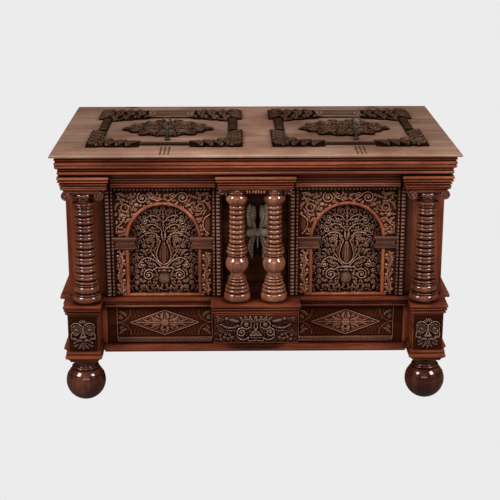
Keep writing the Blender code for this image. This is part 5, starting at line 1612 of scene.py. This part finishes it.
def cartouche_outline(u, v, half_u, half_v):
    """True inside the foliate oval: lobed all round, with pointed ends to the left and right."""
    angle = np.arctan2(v / half_v, u / half_u)
    size = np.sqrt((u / half_u) ** 2 + (v / half_v) ** 2)
    point = 0.16 * np.exp(-((np.abs(np.cos(angle)) - 1) / 0.03) ** 2)
    return size < 0.86 + 0.05 * np.cos(14 * angle) + 0.03 * np.cos(9 * angle + 1) + point


def cartouche_relief(half_u, half_v, seed):
    """Foliage: a ring of scrolls and leaves about a flower in the middle."""
    relief = Relief((-half_u, half_u), (-half_v, half_v), LID_CARVING_STEP)
    relief.flips = (1, -1)
    tall = 7.0
    # Scrolls and leaves, placed by shares of the half sizes
    for hand in (-1, 1):
        for u, v, radius, turns, start, width, share, way in (
            (-0.34, 0.42, 17, 1.7, 0, 6, 1, hand), (-0.68, 0.22, 13, 1.6, 180, 5, 1, -hand),
            (-0.10, 0.42, 11, 1.5, 90, 4.5, 0.9, hand),
        ):
            relief.scroll(u * half_u, v * hand * half_v, radius, turns, start, width, tall * share, way)
        for root_u, root_v, tip_u, tip_v, width, bend in (
            (-0.20, 0.62, -0.06, 0.93, 15, 0.1), (-0.36, 0.56, -0.50, 0.80, 14, 0.15 * hand),
            (-0.58, 0.36, -0.82, 0.48, 13, 0.15 * hand), (-0.12, 0.18, -0.50, 0.12, 13, 0.2 * hand),
        ):
            root, tip = (root_u * half_u, root_v * hand * half_v), (tip_u * half_u, tip_v * hand * half_v)
            relief.leaf(root, tip, width, tall, bend)
    relief.leaf((-0.66 * half_u, 0), (-0.98 * half_u, 0), 15, tall, 0.0)
    relief.rosette(-0.22 * half_u, 0.0, 13, 6, tall * 0.9)
    relief.rosette(0, 0, 17, 8, tall)
    relief.fill(12.0, tall * 0.85, seed, lambda u, v: bool(cartouche_outline(u, v, half_u, half_v)))
    return relief.finish(roughness=0.25)


def dark_lines_shape(x):
    """Three thin dark lines standing slightly proud of the lid in front of the frame, in line with the key.
    """
    levels = [(lid_top + 0.0005, 0.0003), (lid_top + 0.0002, 0.0), (lid_top - 0.0008, 0.0)]
    depth = (lid_low[1] + 0.0050, lid_low[1] + 0.0950)
    sides = ("left", "right", "front", "back")
    return joined(*(
        moulded((x + offset - 0.0022, x + offset + 0.0022), depth, levels, sides)
        for offset in (-0.0100, 0.0, 0.0100)
    ))


def nail_shape(x):
    """A lozenge-shaped mark of the hinge nails near the back edge of the lid."""
    corners = ((-0.024, 0), (0, 0.010), (0.024, 0), (0, -0.010))
    return loft([
        [(x + u * size, lid_high[1] - 0.018 + v * size, lid_top + rise) for u, v in corners]
        for rise, size in ((0.0014, 0.45), (0.0010, 0.85), (-0.0006, 1.0))
    ])


# Key: how far its bow is set below the top of the solid, the bow's sizes and the stem's
BOW_DROP = 0.0065
BOW_HALF, BOW_TALL, BOW_WIRE = 0.0130, 0.031, 0.0024
STEM_RADIUS = 0.0038


def key_shape(x, y, low, high):
    """Oval bow, collar, round stem with a rose on the lid, and bit."""
    top = high - BOW_DROP
    middle = top - BOW_TALL / 2
    bow = [
        (x + (BOW_HALF - BOW_WIRE) * math.sin(a), y, middle + (BOW_TALL / 2 - BOW_WIRE) * math.cos(a))
        for a in around(40)
    ]
    stem_top = top - BOW_TALL + BOW_WIRE
    stem = [(0.0012, stem_top + 0.0030), (0.0034, stem_top + 0.0022), (0.0046, stem_top - 0.0010)]
    stem += beads_below(stem_top, (2.0, 5.0, 3.6, 5.6), (5.5, 7.5, 3.6, 4.8))
    stem += [(STEM_RADIUS, stem_top - 0.0085), (STEM_RADIUS, lid_top + 0.0075)]
    stem += beads_below(lid_top, (-7.0, -1.0, 4.5, 7.8))
    stem += [(STEM_RADIUS, lid_top + 0.0006), (STEM_RADIUS, low)]
    bit_low = low + 0.0003
    bit_levels = [(bit_low + 0.0097, 0.0003), (bit_low + 0.0090, 0.0), (bit_low, 0.0)]
    bit = moulded((x + 0.001, x + 0.012), (y - 0.002, y + 0.002), bit_levels, ("front", "back"))
    return joined(tube(bow, BOW_WIRE, 12, closed=True), turned(stem, (x, y), 24), bit)


JOINT_PLACE = {joint["name"]: joint.get("pos_m") for joint in frame["record"]["behaviour"]["joints"]}
IRON_EDGE = 0.0004
# Seeds of the small leaves, and rise of the grounds and thickness of the backs under the lid's carving
FRAME_SEED, CARTOUCHE_SEED = 21, 31
FRAME_GROUND, FRAME_BACK = 0.0010, 0.0008
CARTOUCHE_GROUND, CARTOUCHE_BACK = 0.0012, 0.0010
lid_low, lid_high = box_of("lid_board")
lid_top = lid_high[2]
for side in SIDES:
    node = "lid_frame_" + side
    low, high = box_of(node)
    middle = (low[0] + high[0]) / 2
    half, deep = (high[0] - low[0]) / 2 / MM, (high[1] - low[1]) / MM
    relief, keep = lid_frame_relief(half, deep, FRAME_SEED)
    place = lying(middle, low[1], low[2] + FRAME_GROUND)
    carving("lid_frame_carved_" + side, relief, place, FRAME_BACK, LID_CARVING, node, keep=keep)

    node = "lid_cartouche_" + side
    low, high = box_of(node)
    half_u, half_v = (high[0] - low[0]) / 2 / MM + 4, (high[1] - low[1]) / 2 / MM + 2
    relief = cartouche_relief(half_u, half_v, CARTOUCHE_SEED)
    place = lying(middle, (low[1] + high[1]) / 2, low[2] + CARTOUCHE_GROUND)
    carving(
        "lid_cartouche_carved_" + side, relief, place, CARTOUCHE_BACK, LID_CARVING, node,
        keep=lambda u, v: cartouche_outline(u, v, half_u, half_v),
    )

    key_x, key_y, _ = JOINT_PLACE["key_" + side + "_turn"]
    shaped("lid_dark_lines_" + side, dark_lines_shape(key_x), OAK_DARK_LINES, "lid_board", (), None)
    strap_low, strap_high = box_of("hinge_strap_" + side)
    nail = nail_shape((strap_low[0] + strap_high[0]) / 2)
    shaped("hinge_mark_" + side, nail, DARK_IRON, "lid_board", (), 30)
    for iron_work in ("lock_case_", "bolt_", "hinge_strap_", "hinge_leaf_", "hinge_pin_"):
        dress(iron_work + side, DARK_IRON, IRON_EDGE)
    node = "key_" + side
    low, high = box_of(node)
    shaped("key_forged_" + side, key_shape(key_x, key_y, low[2], high[2]), DARK_IRON, node)
dress("keeper_rail", DARK_IRON, IRON_EDGE)


# Camera
camera = bpy.data.cameras.new("camera")
camera.sensor_width = 36.0
camera.lens = CAMERA_LENS
camera.clip_end = 50.0
eye = bpy.data.objects.new("camera", camera)
bpy.context.scene.collection.objects.link(eye)
forward = np.array((
    math.sin(CAMERA_YAW) * math.cos(CAMERA_PITCH),
    math.cos(CAMERA_YAW) * math.cos(CAMERA_PITCH),
    -math.sin(CAMERA_PITCH),
))
level_right = np.array((math.cos(CAMERA_YAW), -math.sin(CAMERA_YAW), 0.0))
level_up = np.cross(level_right, forward)
right = math.cos(CAMERA_ROLL) * level_right + math.sin(CAMERA_ROLL) * level_up
up = -math.sin(CAMERA_ROLL) * level_right + math.cos(CAMERA_ROLL) * level_up
turn = Matrix((
    (right[0], up[0], -forward[0]),
    (right[1], up[1], -forward[1]),
    (right[2], up[2], -forward[2]),
))
eye.matrix_world = Matrix.Translation(CAMERA_PLACE) @ turn.to_4x4()
bpy.context.scene.camera = eye

# Light: soft boxes at the left and right, weaker ones in front and above, and a pale room
BACKGROUND = 0.838
FLOOR_TONE = 0.12
ROOM_STRENGTH = 0.12
ROOM_IN_GLOSS = 0.06
# Name, place, aim, size and power of each soft box
SOFT_BOXES = (
    ("soft_box_left", (-2.3, -1.95, 2.10), (-0.1, -0.2, 0.55), (1.1, 1.2), 122),
    ("soft_box_right", (2.3, -1.95, 2.10), (0.1, -0.2, 0.55), (1.1, 1.2), 112),
    ("soft_box_front", (0.0, -3.3, 1.5), (0.0, -0.2, 0.45), (2.2, 0.9), 26),
    ("soft_box_top", (0.0, 0.3, 2.9), (0.0, 0.0, 0.5), (2.2, 1.8), 42),
)
for name, place, aim, size, power in SOFT_BOXES:
    lamp = bpy.data.lights.new(name, "AREA")
    lamp.shape = "RECTANGLE"
    lamp.size, lamp.size_y = size
    lamp.energy = power
    box = bpy.data.objects.new(name, lamp)
    bpy.context.scene.collection.objects.link(box)
    box.location = place
    box.rotation_mode = "QUATERNION"
    box.rotation_quaternion = (Vector(aim) - Vector(place)).to_track_quat("-Z", "Y")


def grey(tone):
    return (tone, tone, tone, 1.0)


def chosen(tree, test, otherwise, shown):
    """One of two shaders, by a test of the kind of ray."""
    share = add_node(tree, "ShaderNodeLightPath").outputs[test]
    return add_node(tree, "ShaderNodeMixShader", {"Fac": share, 1: otherwise, 2: shown}).outputs[0]


world = bpy.data.worlds.new("studio")
bpy.context.scene.world = world
world.use_nodes = True
tree = world.node_tree
tree.nodes.clear()
room, dim_room, backdrop = (
    add_node(tree, "ShaderNodeBackground", {"Color": grey(tone), "Strength": strength}).outputs[0]
    for tone, strength in ((1.0, ROOM_STRENGTH), (1.0, ROOM_IN_GLOSS), (BACKGROUND, 1.0))
)
unseen = chosen(tree, "Is Glossy Ray", room, dim_room)
add_node(tree, "ShaderNodeOutputWorld", {"Surface": chosen(tree, "Is Camera Ray", unseen, backdrop)})

# Floor: pale to the camera, plain to every other ray
FLOOR_HALF = 8.0
corners = [(FLOOR_HALF * x, FLOOR_HALF * y, 0) for x, y in ((-1, -1), (1, -1), (1, 1), (-1, 1))]
floor_mesh = mesh_of("floor", corners, [(0, 1, 2, 3)])
floor = bpy.data.objects.new("floor", floor_mesh)
bpy.context.scene.collection.objects.link(floor)
pale = Finish("pale_floor")
pale.set({"Base Color": grey(FLOOR_TONE), "Roughness": 0.9})
glow = pale.add("ShaderNodeEmission", {"Color": grey(BACKGROUND)}).outputs[0]
surface = chosen(pale.tree, "Is Camera Ray", pale.shader.outputs[0], glow)
feed(pale.tree, pale.tree.nodes["Material Output"], {"Surface": surface})
floor_mesh.materials.append(pale.material)

bpy.context.scene.view_settings.view_transform = "Standard"
